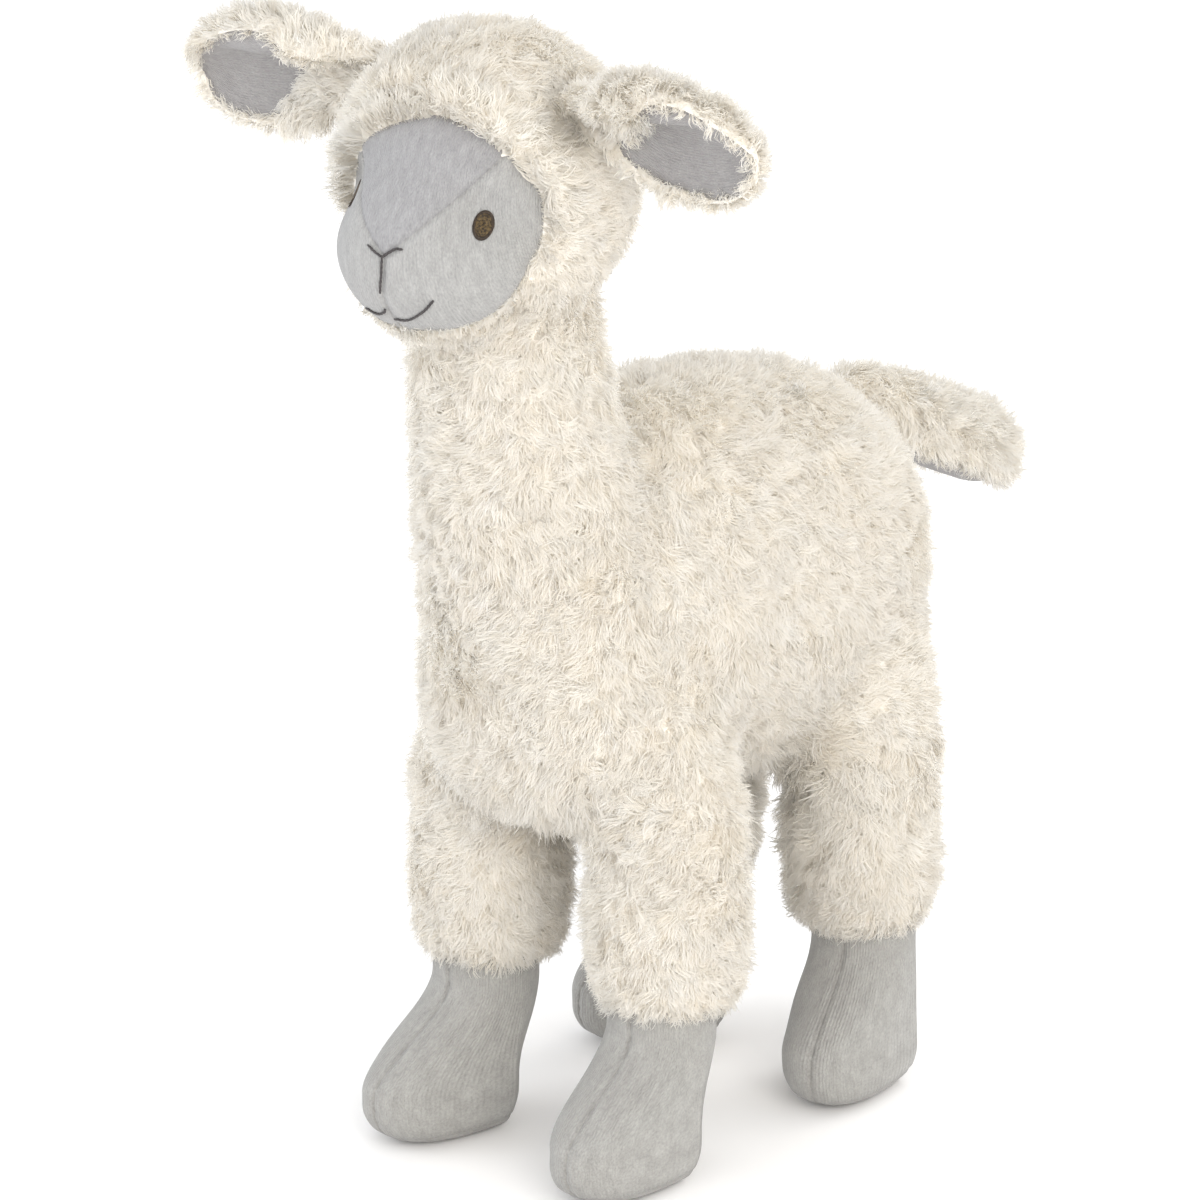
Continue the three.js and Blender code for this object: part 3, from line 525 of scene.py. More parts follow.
class Coat:
    """Strands grown on one skin: roots, normals and the way each one lies."""

    def __init__(self, skin, flow, style, density, seed):
        draw = np.random.default_rng(seed)
        self.root, self.normal = scatter(*skin, density, draw)
        centre, centre_normal = scatter(*skin, 1 / style["tuft_area"], draw)
        home = nearest(centre, self.root)
        count, tufts = len(self.root), len(centre)
        lie = self.settle(centre, centre_normal, flow, style, draw)
        lie = turned(lie, centre_normal, draw.normal(0, style["stray"], tufts))
        long = style["length"](centre) * draw.uniform(*TUFT_LENGTHS, tufts)
        rise = style["rise"](centre) + draw.normal(0, TUFT_UNEVEN, tufts)
        rise = np.clip(rise, LEAST_TUFT_RISE, MOST_RISE)
        tip = tips(centre, centre_normal, lie, long, rise, style["reach"])

        own = turned(tangent(lie[home], self.normal), self.normal, draw.normal(0, style["jitter"], count))
        own_long = long[home] * draw.uniform(*STRAND_LENGTHS, count)
        own_rise = np.clip(rise[home] + draw.normal(0, STRAND_UNEVEN, count), LEAST_RISE, MOST_RISE)
        end = tips(self.root, self.normal, own, own_long, own_rise, style["reach"])
        gather = np.clip(style["gather"] * draw.uniform(*STRAND_GATHERS, count), 0, MOST_GATHER)
        end = end + (tip[home] - end) * gather[:, None]
        knee = self.root + self.normal * (own_long * own_rise * KNEE_RISE)[:, None]
        knee = knee + own * (own_long * KNEE_LEAN)[:, None]

        s = STRAND_STEPS[None, :, None]
        self.path = ((1 - s) ** 2 * self.root[:, None] + 2 * s * (1 - s) * knee[:, None]
                     + s**2 * end[:, None])
        self.curl(self.path, home, style, draw)
        self.width = STRAND_WIDTH * draw.uniform(*STRAND_THICKNESSES, count)
        self.twist = draw.uniform(-STRAND_TWIST, STRAND_TWIST, count)
        tone = 0.5 + TUFT_TONE * draw.normal(size=tufts)
        self.tint = np.clip(tone[home] + STRAND_TONE * draw.normal(size=count), 0, 1)

    @staticmethod
    def settle(spots, normals, flow, style, draw):
        lie = tangent(flow(spots) + LOOSE_LIE * draw.normal(size=spots.shape), normals)
        return turned(unit(lie), normals, style["swirl"] * waves(spots, style["swirl_pitch"], 11))

    @staticmethod
    def curl(path, home, style, draw):
        """Bends the strands sideways along their length, alike within a tuft."""
        count, tufts = len(path), home.max() + 1
        run = unit(path[:, -1] - path[:, 0])
        side = unit(np.cross(run, UP + 1e-3))
        other = np.cross(run, side)
        phase = draw.uniform(0, math.tau, tufts)[home] + draw.normal(0, CURL_UNEVEN, count)
        size = style["curl"] * draw.uniform(*CURL_SIZES, tufts)[home]
        for k, s in enumerate(STRAND_STEPS):
            angle = phase + s * style["turns"] * math.tau
            bend = side * np.cos(angle)[:, None] + other * np.sin(angle)[:, None]
            path[:, k] += bend * (size * s)[:, None]

    def keep(self, marked):
        for name in ("root", "normal", "path", "width", "twist", "tint"):
            setattr(self, name, getattr(self, name)[marked])
        return self


def ribbons(name, coat, marked):
    """The marked strands of a coat as narrow tapered ribbons in one mesh."""
    path, normal = coat.path[marked], coat.normal[marked]
    count, rows = len(path), len(STRAND_ROWS)
    along = np.empty_like(path)
    along[:, 1:-1] = path[:, 2:] - path[:, :-2]
    along[:, 0], along[:, -1] = path[:, 1] - path[:, 0], path[:, -1] - path[:, -2]
    along = unit(along)
    out = np.broadcast_to(normal[:, None], path.shape)
    side = unit(np.cross(along, out))
    face = np.cross(side, along)
    twist = coat.twist[marked][:, None, None] * STRAND_STEPS[None, :, None]
    side, face = side * np.cos(twist) + face * np.sin(twist), face * np.cos(twist) - side * np.sin(twist)
    half = coat.width[marked][:, None] * STRAND_WIDTHS[None] / 2
    soft = unit(face * 0.15 + out * 0.85)
    verts = np.empty((count, 2 * rows + 1, 3))
    normals = np.empty_like(verts)
    for first, edge in enumerate((-side[:, :rows], side[:, :rows])):
        verts[:, first:-1:2] = path[:, :rows] + edge * half[:, :, None]
        normals[:, first:-1:2] = unit(soft[:, :rows] + edge * 0.35)
    verts[:, -1], normals[:, -1] = path[:, -1], soft[:, -1]
    pattern = []
    for k in range(rows - 1):
        pattern += [2 * k, 2 * k + 1, 2 * k + 3, 2 * k + 2]
    pattern += [2 * rows - 2, 2 * rows - 1, 2 * rows]
    corners = np.arange(count)[:, None] * (2 * rows + 1) + np.array(pattern)[None]
    obj = new_object(name, verts, corners, FUR, np.tile([4] * (rows - 1) + [3], count))
    tint = np.repeat(coat.tint[marked], 2 * rows + 1)
    reach = np.tile(np.append(np.repeat(STRAND_ROWS, 2), 1.0), count)
    set_values(obj, "tint", tint)
    set_values(obj, "along", reach)
    set_uv(obj, "OFBake", 0.02 + 0.96 * tint, 0.02 + 0.96 * reach)
    obj.data.normals_split_custom_set_from_vertices(normals.reshape(-1, 3).astype(np.float32))
    return obj


def fur_pieces(name, coat, order):
    """Ribbon meshes for a coat, split along one axis so that none is too heavy."""
    count = len(coat.root)
    parts = max(1, math.ceil(count / MOST_STRANDS))
    rank = np.argsort(np.argsort(coat.root @ np.asarray(order, float)))
    made = []
    for k in range(parts):
        marked = (rank * parts) // count == k
        made.append(ribbons(name if parts == 1 else f"{name}_{k + 1}", coat, marked))
    return made


def mask_edge(elevation, grow=0.0):
    """Half width of the face mask at an elevation, in degrees of azimuth; 0 above and below it."""
    rise = np.asarray(elevation, float) - MASK_MIDDLE
    tall = np.where(rise > 0, MASK_TOP, MASK_BOTTOM) + grow
    shape = np.where(rise > 0, MASK_TOP_SHAPE, MASK_BOTTOM_SHAPE)
    left = np.maximum(1 - (np.abs(rise) / tall) ** shape, 0)
    return (MASK_HALF_WIDTH + grow) * left ** (1 / shape)


def aim_angles(spots):
    d = unit(spots - HEAD)
    return np.degrees(np.arctan2(d[:, 0], -d[:, 1])), np.degrees(np.arcsin(np.clip(d[:, 2], -1, 1)))


def mask_gap(spots):
    """How far spots lie outside the pile's edge round the face, in degrees; negative inside it."""
    azimuth, elevation = aim_angles(spots)
    rise = elevation - MASK_MIDDLE
    azimuth = azimuth - FRINGE_TURN - FRINGE_SKEW * np.maximum(rise, 0)
    tall = np.where(rise > 0, FRINGE_TOP, MASK_BOTTOM)
    shape = np.where(rise > 0, FRINGE_SHAPE, MASK_BOTTOM_SHAPE)
    share = ((np.abs(azimuth) / FRINGE_HALF_WIDTH) ** shape + (np.abs(rise) / tall) ** shape) ** (1 / shape)
    return (1 - 1 / np.maximum(share, 1e-6)) * np.hypot(azimuth, rise)


SOCKET_AZIMUTH, SOCKET_ELEVATION, SOCKET_WIDTH, SOCKET_DEPTH = 36.0, -4.0, 13.0, 0.0045


def face_reach(aims):
    """Distance of the velour from the head's middle: skull and muzzle, drawn in at the eyes."""
    ray, start = aims / MUZZLE_SIZE, MUZZLE_CENTRE / MUZZLE_SIZE
    length = (ray * ray).sum(-1)
    along = ray @ start
    inside = along**2 - length * (start @ start - 1)
    muzzle = np.where(inside > 0, (along + np.sqrt(np.maximum(inside, 0))) / length, 0)
    mix = np.maximum(MUZZLE_BLEND - np.abs(SKULL - muzzle), 0) / MUZZLE_BLEND
    reach = np.maximum(SKULL, muzzle) + mix**2 * MUZZLE_BLEND / 4
    for side in SIDES.values():
        socket = direction(side * SOCKET_AZIMUTH, SOCKET_ELEVATION)
        off = np.degrees(np.arccos(np.clip(aims @ socket, -1, 1)))
        reach = reach - SOCKET_DEPTH * np.exp(-((off / SOCKET_WIDTH) ** 2))
    return reach


def up_neck(spots):
    return (spots - NECK_FOOT) @ NECK_AXIS


def main_flow(spots):
    """Down the neck, chest and legs, back and down over the barrel, away from the face on the head."""
    head = smooth((up_neck(spots) - 0.046) / 0.016)[:, None]
    barrel = (smooth((spots[:, 1] + 0.052) / 0.05) * smooth((spots[:, 2] - 0.1) / 0.04))[:, None]
    down = -UP * (1 - barrel) + (0.75 * BACK - 0.65 * UP) * barrel
    radial = spots - HEAD
    ahead = np.array([0.0, -0.98, -0.17])
    radial = unit(radial - ahead * (radial @ ahead)[:, None])
    crown = radial * 0.8 + BACK * 0.5 - UP * 0.45
    return down * (1 - head) + crown * head


def by_mask(spots):
    """1 at the upper edge of the face mask and on it, falling to 0 some way out and below the eyes."""
    _, elevation = aim_angles(spots)
    return smooth(1 - mask_gap(spots) / 14.0) * smooth((elevation + 30) / 25)


def near_cuff(spots):
    return smooth((CUFF_Z + 0.020 - spots[:, 2]) / 0.014)


def by_chin(spots):
    """1 below the face mask and round its lower edge."""
    _, elevation = aim_angles(spots)
    low = smooth((-12 - elevation) / 18) * smooth((up_neck(spots) - 0.046) / 0.010)
    return smooth(1 - mask_gap(spots) / 12.0) * low


def by_ruff(spots):
    """1 on the head beside the right cheek, falling to 0 above and below."""
    azimuth, elevation = aim_angles(spots)
    beside = smooth((-48 - azimuth) / 22) * smooth((azimuth + 112) / 30)
    return beside * smooth((elevation + 30) / 16) * smooth((32 - elevation) / 18)


def between_legs(spots):
    """1 under the belly between the front and back legs and on the legs' faces there."""
    middle = smooth((0.042 - np.abs(spots[:, 1] + 0.011)) / 0.026)
    return middle * smooth((0.130 - spots[:, 2]) / 0.018) * smooth((spots[:, 2] - 0.076) / 0.018)


# Length of the pile, in metres, and its rise, as a share of that; then by how much each place differs
PILE_LENGTH, PILE_RISE = 0.0079, 0.50
CHEST_LONGER, BELLY_LONGER, RUFF_LONGER, HOOD_LONGER = 0.0028, 0.0060, 0.0036, 0.0014
HEAD_SHORTER, CHIN_SHORTER, CUFF_SHORTER = 0.0008, 0.0030, 0.0022
HOOD_STEEPER, CUFF_STEEPER = 0.27, 0.12


def main_length(spots):
    """Longer at the chest's foot, between the legs and round the face, shorter at the cuffs and chin."""
    head = smooth((up_neck(spots) - 0.040) / 0.02)
    chest = smooth(1 - np.abs(spots[:, 2] - 0.122) / 0.028) * smooth((0.040 - np.abs(spots[:, 0])) / 0.02)
    ruff = by_ruff(spots) * smooth((up_neck(spots) - 0.050) / 0.012)
    edges = HOOD_LONGER * by_mask(spots) - CHIN_SHORTER * by_chin(spots) - CUFF_SHORTER * near_cuff(spots)
    longer = CHEST_LONGER * chest + BELLY_LONGER * between_legs(spots) + RUFF_LONGER * ruff
    return PILE_LENGTH + longer - HEAD_SHORTER * head + edges


def main_rise(spots):
    return PILE_RISE + HOOD_STEEPER * by_mask(spots) + CUFF_STEEPER * near_cuff(spots)


STYLE = {
    "tuft_area": 8e-6, "stray": 0.6, "jitter": 0.45, "length": main_length, "rise": main_rise,
    "reach": 0.9, "gather": 0.26, "curl": 0.0012, "turns": 0.8, "swirl": 0.6, "swirl_pitch": 0.045,
}
DENSITY = 2.8e6

LEG_TOP, LEG_FREE, LEG_ROOM = 0.112, 0.080, 0.011
NECK_START, NECK_END, HEAD_START, HEAD_END = 0.008, 0.041, 0.043, 0.062

# The solids that each region's backing stands for; the skin is drawn round these and the face
STANDS_FOR = {
    "body": ["body_left_panel", "body_right_panel", "belly_panel", "body_filling"],
    "neck": ["neck_cover", "neck_filling"],
    "head": ["head_cover", "head_filling"],
}
FUSED = sum(STANDS_FOR.values(), [])
FUSED += ["face_forehead_panel", "face_left_cheek", "face_right_cheek"]
for leg in LEGS:
    STANDS_FOR[leg] = [f"{leg}_leg_cover", f"{leg}_leg_filling"]
    FUSED += STANDS_FOR[leg]


def regions(spots):
    """The region of each spot: body, a leg, neck or head."""
    names = np.full(len(spots), "body", object)
    rise = up_neck(spots)
    names[rise > NECK_START] = "neck"
    names[rise > HEAD_START] = "head"
    for leg, (_, x, y, radius) in LEGS.items():
        near = np.hypot(spots[:, 0] - x, spots[:, 1] - y) < radius + LEG_ROOM
        names[near & (spots[:, 2] < LEG_TOP)] = leg
    return names


# The skin lies the pile's depth inside the solids, less at the hood's edge and under the cuffs
SKIN_VOXEL, SKIN_EASE, HOOD_THIN, CUFF_THIN = 0.003, 6, 0.75, 0.65
outer, skin_tris = fused(FUSED, SKIN_VOXEL, SKIN_EASE)
outward = unit(spread(vertex_normals(outer, skin_tris), skin_tris, 3))
sink = outward * (PILE_DEPTH * (1 - HOOD_THIN * by_mask(outer)))[:, None]
at_cuff = smooth((CUFF_Z + 0.017 - outer[:, 2]) / 0.012) * smooth(-outward[:, 2] / 0.5)
sink[:, 2] *= 1 - CUFF_THIN * at_cuff
skin = outer - sink

# The hood's edge curls down under the velour
HOOD_RISE, HOOD_TUCK, HOOD_CURL, HOOD_CUT, HOOD_BARE = 0.0030, 0.0008, 9.0, 4.0, 2.4
gap = mask_gap(skin)
on_head = smooth((up_neck(skin) - 0.050) / 0.006)
reach = np.linalg.norm(skin - HEAD, axis=1)
aims = unit(skin - HEAD)
under = face_reach(aims) - HOOD_TUCK
over = np.maximum(np.maximum(reach, SKULL + HOOD_RISE * by_mask(skin)), under)
curled = under + (over - under) * smooth((gap + 3.0) / HOOD_CURL)
skin = skin + aims * (on_head * (curled - reach))[:, None]
skin_normals = unit(spread(vertex_normals(skin, skin_tris), skin_tris, 2))
upright = (0.7 * on_head * smooth(1 - gap / 3.0))[:, None]
skin_normals = unit(skin_normals * (1 - upright) + aims * upright)
middles = skin[skin_tris].mean(1)
face_hole = (mask_gap(middles) < -HOOD_CUT) & (up_neck(middles) > HEAD_START)
where = regions(middles)
# The backing stops where the boots fill the cuffs
CUFF_HEM, CUFF_ROOM, CUFF_BORE = 0.001, 0.011, 0.0165
in_boot = np.zeros(len(middles), bool)
for leg, (_, x, y, _) in LEGS.items():
    from_axis = np.hypot(middles[:, 0] - x, middles[:, 1] - y + BOOT_SET[leg][0])
    in_boot |= (middles[:, 2] < CUFF_Z + CUFF_ROOM) & (from_axis < CUFF_BORE)
in_boot |= middles[:, 2] < CUFF_Z + CUFF_HEM

# The two bodies that each region joins, and where the joint between them starts and ends
BENDS = {
    leg: ("body", f"{leg}_leg", (x, y, LEG_TOP), (x, y, LEG_FREE)) for leg, (_, x, y, _) in LEGS.items()
}
BENDS["neck"] = ("body", "neck", *(NECK_FOOT + NECK_AXIS * rise for rise in (NECK_START, NECK_END)))
BENDS["head"] = ("neck", "head", *(NECK_FOOT + NECK_AXIS * rise for rise in (HEAD_START, HEAD_END)))


def move_with(obj, region):
    """Puts a piece on its region's body; a piece whose region crosses a joint is fixed where it is, on no
    body.
    """
    if region in BENDS:
        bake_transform(obj)
    else:
        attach(obj, region)


def furred(region, cloth, nodes, flow, style, density, seed, order):
    """A backing and the pile on it, which is split along order, as pieces put on a region's body, or fixed
    in place where the region crosses a joint.
    """
    backing = new_object(f"{region}_backing", *cloth[:2], BACKING)
    stand_in(nodes)
    coat = Coat(cloth, flow, style, density, seed)
    if region == "head":
        coat.keep(mask_gap(coat.root) > -HOOD_BARE)
    for piece in (backing, *fur_pieces(f"{region}_fur", coat, order)):
        move_with(piece, region)


SPLIT = {"body": (0.3, 1, 0), "head": (1, 0, 0), "neck": (1, 0, 0)}

for number, region in enumerate(STANDS_FOR):
    verts, tris, used = part_of(skin, skin_tris, (where == region) & ~face_hole & ~in_boot)
    furred(region, (verts, tris, skin_normals[used]), STANDS_FOR[region],
           main_flow, STYLE, DENSITY, 100 + number, SPLIT.get(region, (0, 1, 0)))


# Face

def face_spot(azimuth, elevation, lift=0.0):
    aims = direction(azimuth, elevation)
    return HEAD + aims * (face_reach(aims) + lift)[..., None]


def gusset_edge(elevation):
    rise = np.clip((np.asarray(elevation, float) - GUSSET_APEX) / (GUSSET_SIDE - GUSSET_APEX), 0, None)
    return GUSSET_HALF_WIDTH * rise**GUSSET_FLARE


def face_middle(elevation):
    """Azimuth of the line down the middle of the face, which swings in below the nose."""
    return FACE_TURN * smooth((np.asarray(elevation, float) + 34) / 17)


def crowded(count):
    """Shares from 0 to 1 that lie closer together at either end, where the seams are."""
    even = np.linspace(0, 1, count)
    return even - 0.65 * np.sin(math.tau * even) / math.tau


MASK_TUCK, TUCK_DEPTH = 10.0, 0.0015
FACE_ROWS, FACE_COLUMNS = 150, 70
# SEAM_SHADE and SEAM_LINE set how dark and how narrow the painted shade along the face's seams is
SEAM_DEPTH, SEAM_WIDTH, SEAM_SHADE, SEAM_LINE = 0.0007, 0.0010, 0.8, 0.0005
# Millimetres of velour to a degree of the face
FACE_SCALE = 0.72


def face_panel(name, low_edge, high_edge, elevations, material):
    """A velour panel between two edges given as azimuth over elevation, sunk along its seams."""
    share = crowded(FACE_COLUMNS)[None]
    lo, hi = low_edge(elevations)[:, None], high_edge(elevations)[:, None]
    azimuth = lo + (hi - lo) * share
    elevation = np.broadcast_to(elevations[:, None], azimuth.shape)
    middle = face_middle(elevation)
    side = np.abs(azimuth - middle)
    slope = np.gradient(gusset_edge(elevations), elevations)[:, None]
    level = np.cos(np.radians(elevation))
    scale = np.radians(1) * SKULL * level
    gap = np.abs(side - gusset_edge(elevation)) * scale
    gap = gap / np.sqrt(1 + (slope * level) ** 2)
    stitch = 1 + 0.2 * np.sin(elevation * 2.1)
    dip = SEAM_DEPTH * stitch * np.exp(-((gap / SEAM_WIDTH) ** 2))
    beyond = np.maximum(np.abs(azimuth) - mask_edge(elevation), 0) / MASK_TUCK
    tall = np.where(elevation > MASK_MIDDLE, MASK_TOP, MASK_BOTTOM)
    outside = np.clip(np.maximum(beyond, (np.abs(elevation - MASK_MIDDLE) - tall) / MASK_TUCK), 0, 1)
    verts = face_spot(azimuth, elevation, -dip - TUCK_DEPTH * outside**2)
    obj = new_object(name, verts, grid_quads(*azimuth.shape), material)
    set_uv(obj, "Nap", azimuth * level * FACE_SCALE, elevation * FACE_SCALE)
    # The seam attribute darkens the velour along the seam: painted shade in the groove
    set_values(obj, "seam", SEAM_SHADE * stitch * np.exp(-((gap / SEAM_LINE) ** 2)))
    stand_in([name])
    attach(obj, "head")


def build_face():
    top, bottom = MASK_MIDDLE + MASK_TOP + MASK_TUCK, MASK_MIDDLE - MASK_BOTTOM - MASK_TUCK
    wide = lambda e: np.maximum(mask_edge(e, MASK_TUCK), 0.02)
    left = lambda e: np.minimum(face_middle(e) + gusset_edge(e), wide(e))
    right = lambda e: np.maximum(face_middle(e) - gusset_edge(e), -wide(e))
    turn = np.sin(np.linspace(-math.pi / 2, math.pi / 2, FACE_ROWS))
    rows = np.linspace(GUSSET_APEX, top - 0.01, FACE_ROWS)
    face_panel("face_forehead_panel", lambda e: right(e) - 0.01, lambda e: left(e) + 0.01, rows,
               SHADED_BROW_VELOUR)
    for hand, side in SIDES.items():
        edge = gusset_edge(rows) + side * face_middle(rows)
        crossing = rows[np.argmax(edge >= wide(rows))]
        cheek = (bottom + 0.01 + crossing) / 2 + (crossing - bottom - 0.01) / 2 * turn
        limits = (left, wide) if side > 0 else (lambda e: -wide(e), right)
        face_panel(f"face_{hand}_cheek", *limits, cheek, LIT_CHEEK_VELOUR)


build_face()


# Threads

def tube_mesh(paths, normals, radius, sides=6, squash=0.75):
    """Closed round threads along several paths of equal length, each tapering at its ends."""
    count, steps = paths.shape[:2]
    along = unit(np.gradient(paths, axis=1))
    side = unit(np.cross(along, np.broadcast_to(normals, paths.shape)))
    up = np.cross(side, along)
    taper = np.sqrt(np.clip(1 - np.linspace(-1, 1, steps) ** 4, 0.02, 1))[None, :, None, None]
    angle = np.linspace(0, math.tau, sides, endpoint=False)[None, None, :, None]
    ring = paths[:, :, None] + radius * taper * (
        side[:, :, None] * np.cos(angle) + up[:, :, None] * np.sin(angle) * squash)
    verts = ring.reshape(count, -1, 3)
    quads = grid_quads(steps, sides, True)
    caps = [np.arange(sides)[::-1], np.arange(sides) + (steps - 1) * sides]
    base = (np.arange(count) * steps * sides)[:, None]
    corners = np.concatenate([(base + quads.reshape(1, -1)), base + caps[0], base + caps[1]], 1)
    sizes = np.tile([4] * len(quads) + [sides] * 2, count)
    return verts.reshape(-1, 3), corners, sizes


STITCH_LENGTH, STITCH_STEP, STITCH_SLANT, STITCH_RADIUS = 0.0030, 0.0016, 0.12, 0.00040


def line_stitches(name, *lines):
    """Stem stitches along lines of face directions: short slanting threads, each over the last."""
    length = STITCH_LENGTH
    paths, normals = [], []
    for azimuth, elevation in lines:
        fine = face_spot(azimuth, elevation)
        gone = np.concatenate([[0], np.cumsum(np.linalg.norm(np.diff(fine, axis=0), axis=1))])
        for start in np.arange(-0.3 * length, gone[-1] - 0.5 * length, STITCH_STEP):
            at = np.clip(np.linspace(start, start + length, 7), 0, gone[-1])
            spots = np.stack([np.interp(at, gone, fine[:, k]) for k in range(3)], 1)
            out = unit(spots - HEAD - MUZZLE_CENTRE * 0.6)
            run = unit(spots[-1] - spots[0])
            t = np.linspace(-1, 1, 7)[:, None]
            shift = np.cross(out, run) * (STITCH_SLANT * t * length / 2)
            lift = out * (0.00010 + 0.00032 * (1 - t**2))
            paths.append(spots + shift + lift)
            normals.append(out)
    verts, corners, sizes = tube_mesh(np.array(paths), np.array(normals), STITCH_RADIUS)
    obj = new_object(name, verts, corners, LINE_THREAD, sizes)
    stand_in([name])
    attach(obj, "head")


def curve(*points):
    """A smooth line of azimuths and elevations through a few given pairs."""
    return spline(np.array([points], float), np.linspace(-1, 1, 60))[0].T


JUNCTION = (2.7, -17.2)
line_stitches(
    "nose_stitching", curve((10.6, -13.9), (7.7, -14.2), JUNCTION),
    curve((-4.0, -14.4), (-1.0, -15.9), JUNCTION), curve(JUNCTION, (2.0, -23.0), (0.0, -29.4)))
line_stitches("mouth_left_stitching", curve((1.6, -39.7), (8.5, -39.2), (16.5, -34.8), (21.3, -30.3)))
line_stitches("mouth_right_stitching", curve((-0.6, -35.9), (-2.6, -37.7), (-8.0, -39.6), (-14.8, -38.9)))

EYE_AZIMUTH, EYE_ELEVATION = {"left": 40.0, "right": 36.8}, {"left": -7.3, "right": -5.0}
EYE_TILT, EYE_DOME, EYE_HALF = 24.0, 0.0005, (0.00310, 0.0038)
EYE_STEPS, FILL_PITCH, FILL_RADIUS, RIM_PITCH, RIM_RADIUS = 9, 0.00030, 0.00024, 0.055, 0.00019
FILL_SHARES, FILL_SLANT, FILL_LAP, FILL_LIFT = (0.82, 0.84), 0.12, 0.0003, 0.00012
RIM_SHARES, RIM_SLANT, RIM_LIFT = (0.74, 0.99), 0.05, 0.00030


def eye(hand, side):
    """An oval of close golden threads with a dark satin rim."""
    aim = direction(side * EYE_AZIMUTH[hand], EYE_ELEVATION[hand])
    level = unit(np.array([-aim[1], aim[0], 0.0]))
    turn = -side * math.radians(EYE_TILT)
    across = level * math.cos(turn) + np.cross(aim, level) * math.sin(turn)
    upward = np.cross(aim, across)
    middle = HEAD + aim * face_reach(aim)
    wide, high = EYE_HALF
    draw = np.random.default_rng(31 + side)

    def on_face(u, v, lift):
        aims = unit(middle + across * u[..., None] + upward * v[..., None] - HEAD)
        dome = np.clip(1 - (u / wide) ** 2 - (v / high) ** 2, 0, 1)
        return HEAD + aims * (face_reach(aims) + lift + EYE_DOME * np.sqrt(dome))[..., None]

    fills = []
    inner = wide * FILL_SHARES[0]
    for u in np.arange(-inner, inner, FILL_PITCH):
        span = high * math.sqrt(1 - (u / wide) ** 2) * FILL_SHARES[1]
        cut = draw.uniform(-0.3, 0.3) * span
        for lo, hi in ((-span, cut + FILL_LAP), (cut - FILL_LAP, span)):
            v = np.linspace(lo, hi, EYE_STEPS)
            fills.append(on_face(np.full(EYE_STEPS, u) + FILL_SLANT * (v - cut), v, FILL_LIFT))
    verts, corners, sizes = tube_mesh(np.array(fills), aim, FILL_RADIUS)
    rims = []
    out = np.linspace(*RIM_SHARES, EYE_STEPS)
    for angle in np.arange(0, math.tau, RIM_PITCH):
        slant = angle + np.linspace(-RIM_SLANT, RIM_SLANT, EYE_STEPS)
        rims.append(on_face(wide * out * np.cos(slant), high * out * np.sin(slant), RIM_LIFT))
    rim_verts, rim_corners, rim_sizes = tube_mesh(np.array(rims), aim, RIM_RADIUS)
    obj = new_object(f"{hand}_eye", np.concatenate([verts, rim_verts]),
                     np.concatenate([corners.ravel(), rim_corners.ravel() + len(verts)]), EYE_FILL,
                     np.concatenate([sizes, rim_sizes]))
    obj.data.materials.append(EYE_RIM)
    thread = np.repeat([0, 1], [len(sizes), len(rim_sizes)]).astype(np.int32)
    obj.data.polygons.foreach_set("material_index", thread)
    stand_in([f"{hand}_eye"])
    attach(obj, "head")


for hand, side in SIDES.items():
    eye(hand, side)


# Boots

ANKLE, TOE_REACH, HEEL_REACH, BOOT_HALF = 0.017, 0.044, 0.008, 0.01875
BULGE_Z, INSTEP_Z, TOE_Z, BOOT_TOP, SOLE_SEAM = 0.013, 0.048, 0.0175, 0.064, 0.0042
SOLE_UNDERCUT, HEEL_UNDERCUT, TOE_BLUNT, FLOOR_ROUND, FLOOR_TUCK = 0.23, 0.8, 0.15, 0.006, 0.22
BOOT_COLUMNS, BOOT_ROWS, SOLE_ROWS = 56, 64, 10
BOOT_SEAM_DEPTH, PUCKER_PITCH, FRONT_SEAM_WIDTH, SOLE_SEAM_WIDTH = 0.0006, 0.0021, 0.0010, 0.0009
SWELL, SWELL_PITCH = 0.00025, 0.020


def flare(z):
    return smooth((INSTEP_Z - z) / (INSTEP_Z - TOE_Z))


def boot_ring(z, angle):
    """Outline of a boot at height z, before it is turned; angle is 0 at the toe and pi at the heel."""
    rise = flare(z)
    roll = np.maximum(0, 1 - z / BULGE_Z) ** 2
    low = np.clip(1 - z / FLOOR_ROUND, 0, 1)
    tuck = 1 - FLOOR_TUCK * (1 - np.sqrt(1 - low**2))
    toe = (ANKLE + (TOE_REACH - ANKLE) * rise) * (1 - SOLE_UNDERCUT * roll) * tuck
    heel = (ANKLE + (HEEL_REACH - ANKLE) * rise) * (1 - HEEL_UNDERCUT * roll) * tuck
    half = (ANKLE + (BOOT_HALF - ANKLE) * rise) * (1 - SOLE_UNDERCUT * roll) * tuck
    ahead = np.cos(angle) > 0
    blunt = np.where(ahead, 1 - TOE_BLUNT * rise, 1.0)
    across, along = (np.sign(f(angle)) * np.abs(f(angle)) ** blunt for f in (np.sin, np.cos))
    return half * across, -along * np.where(ahead, toe, heel)


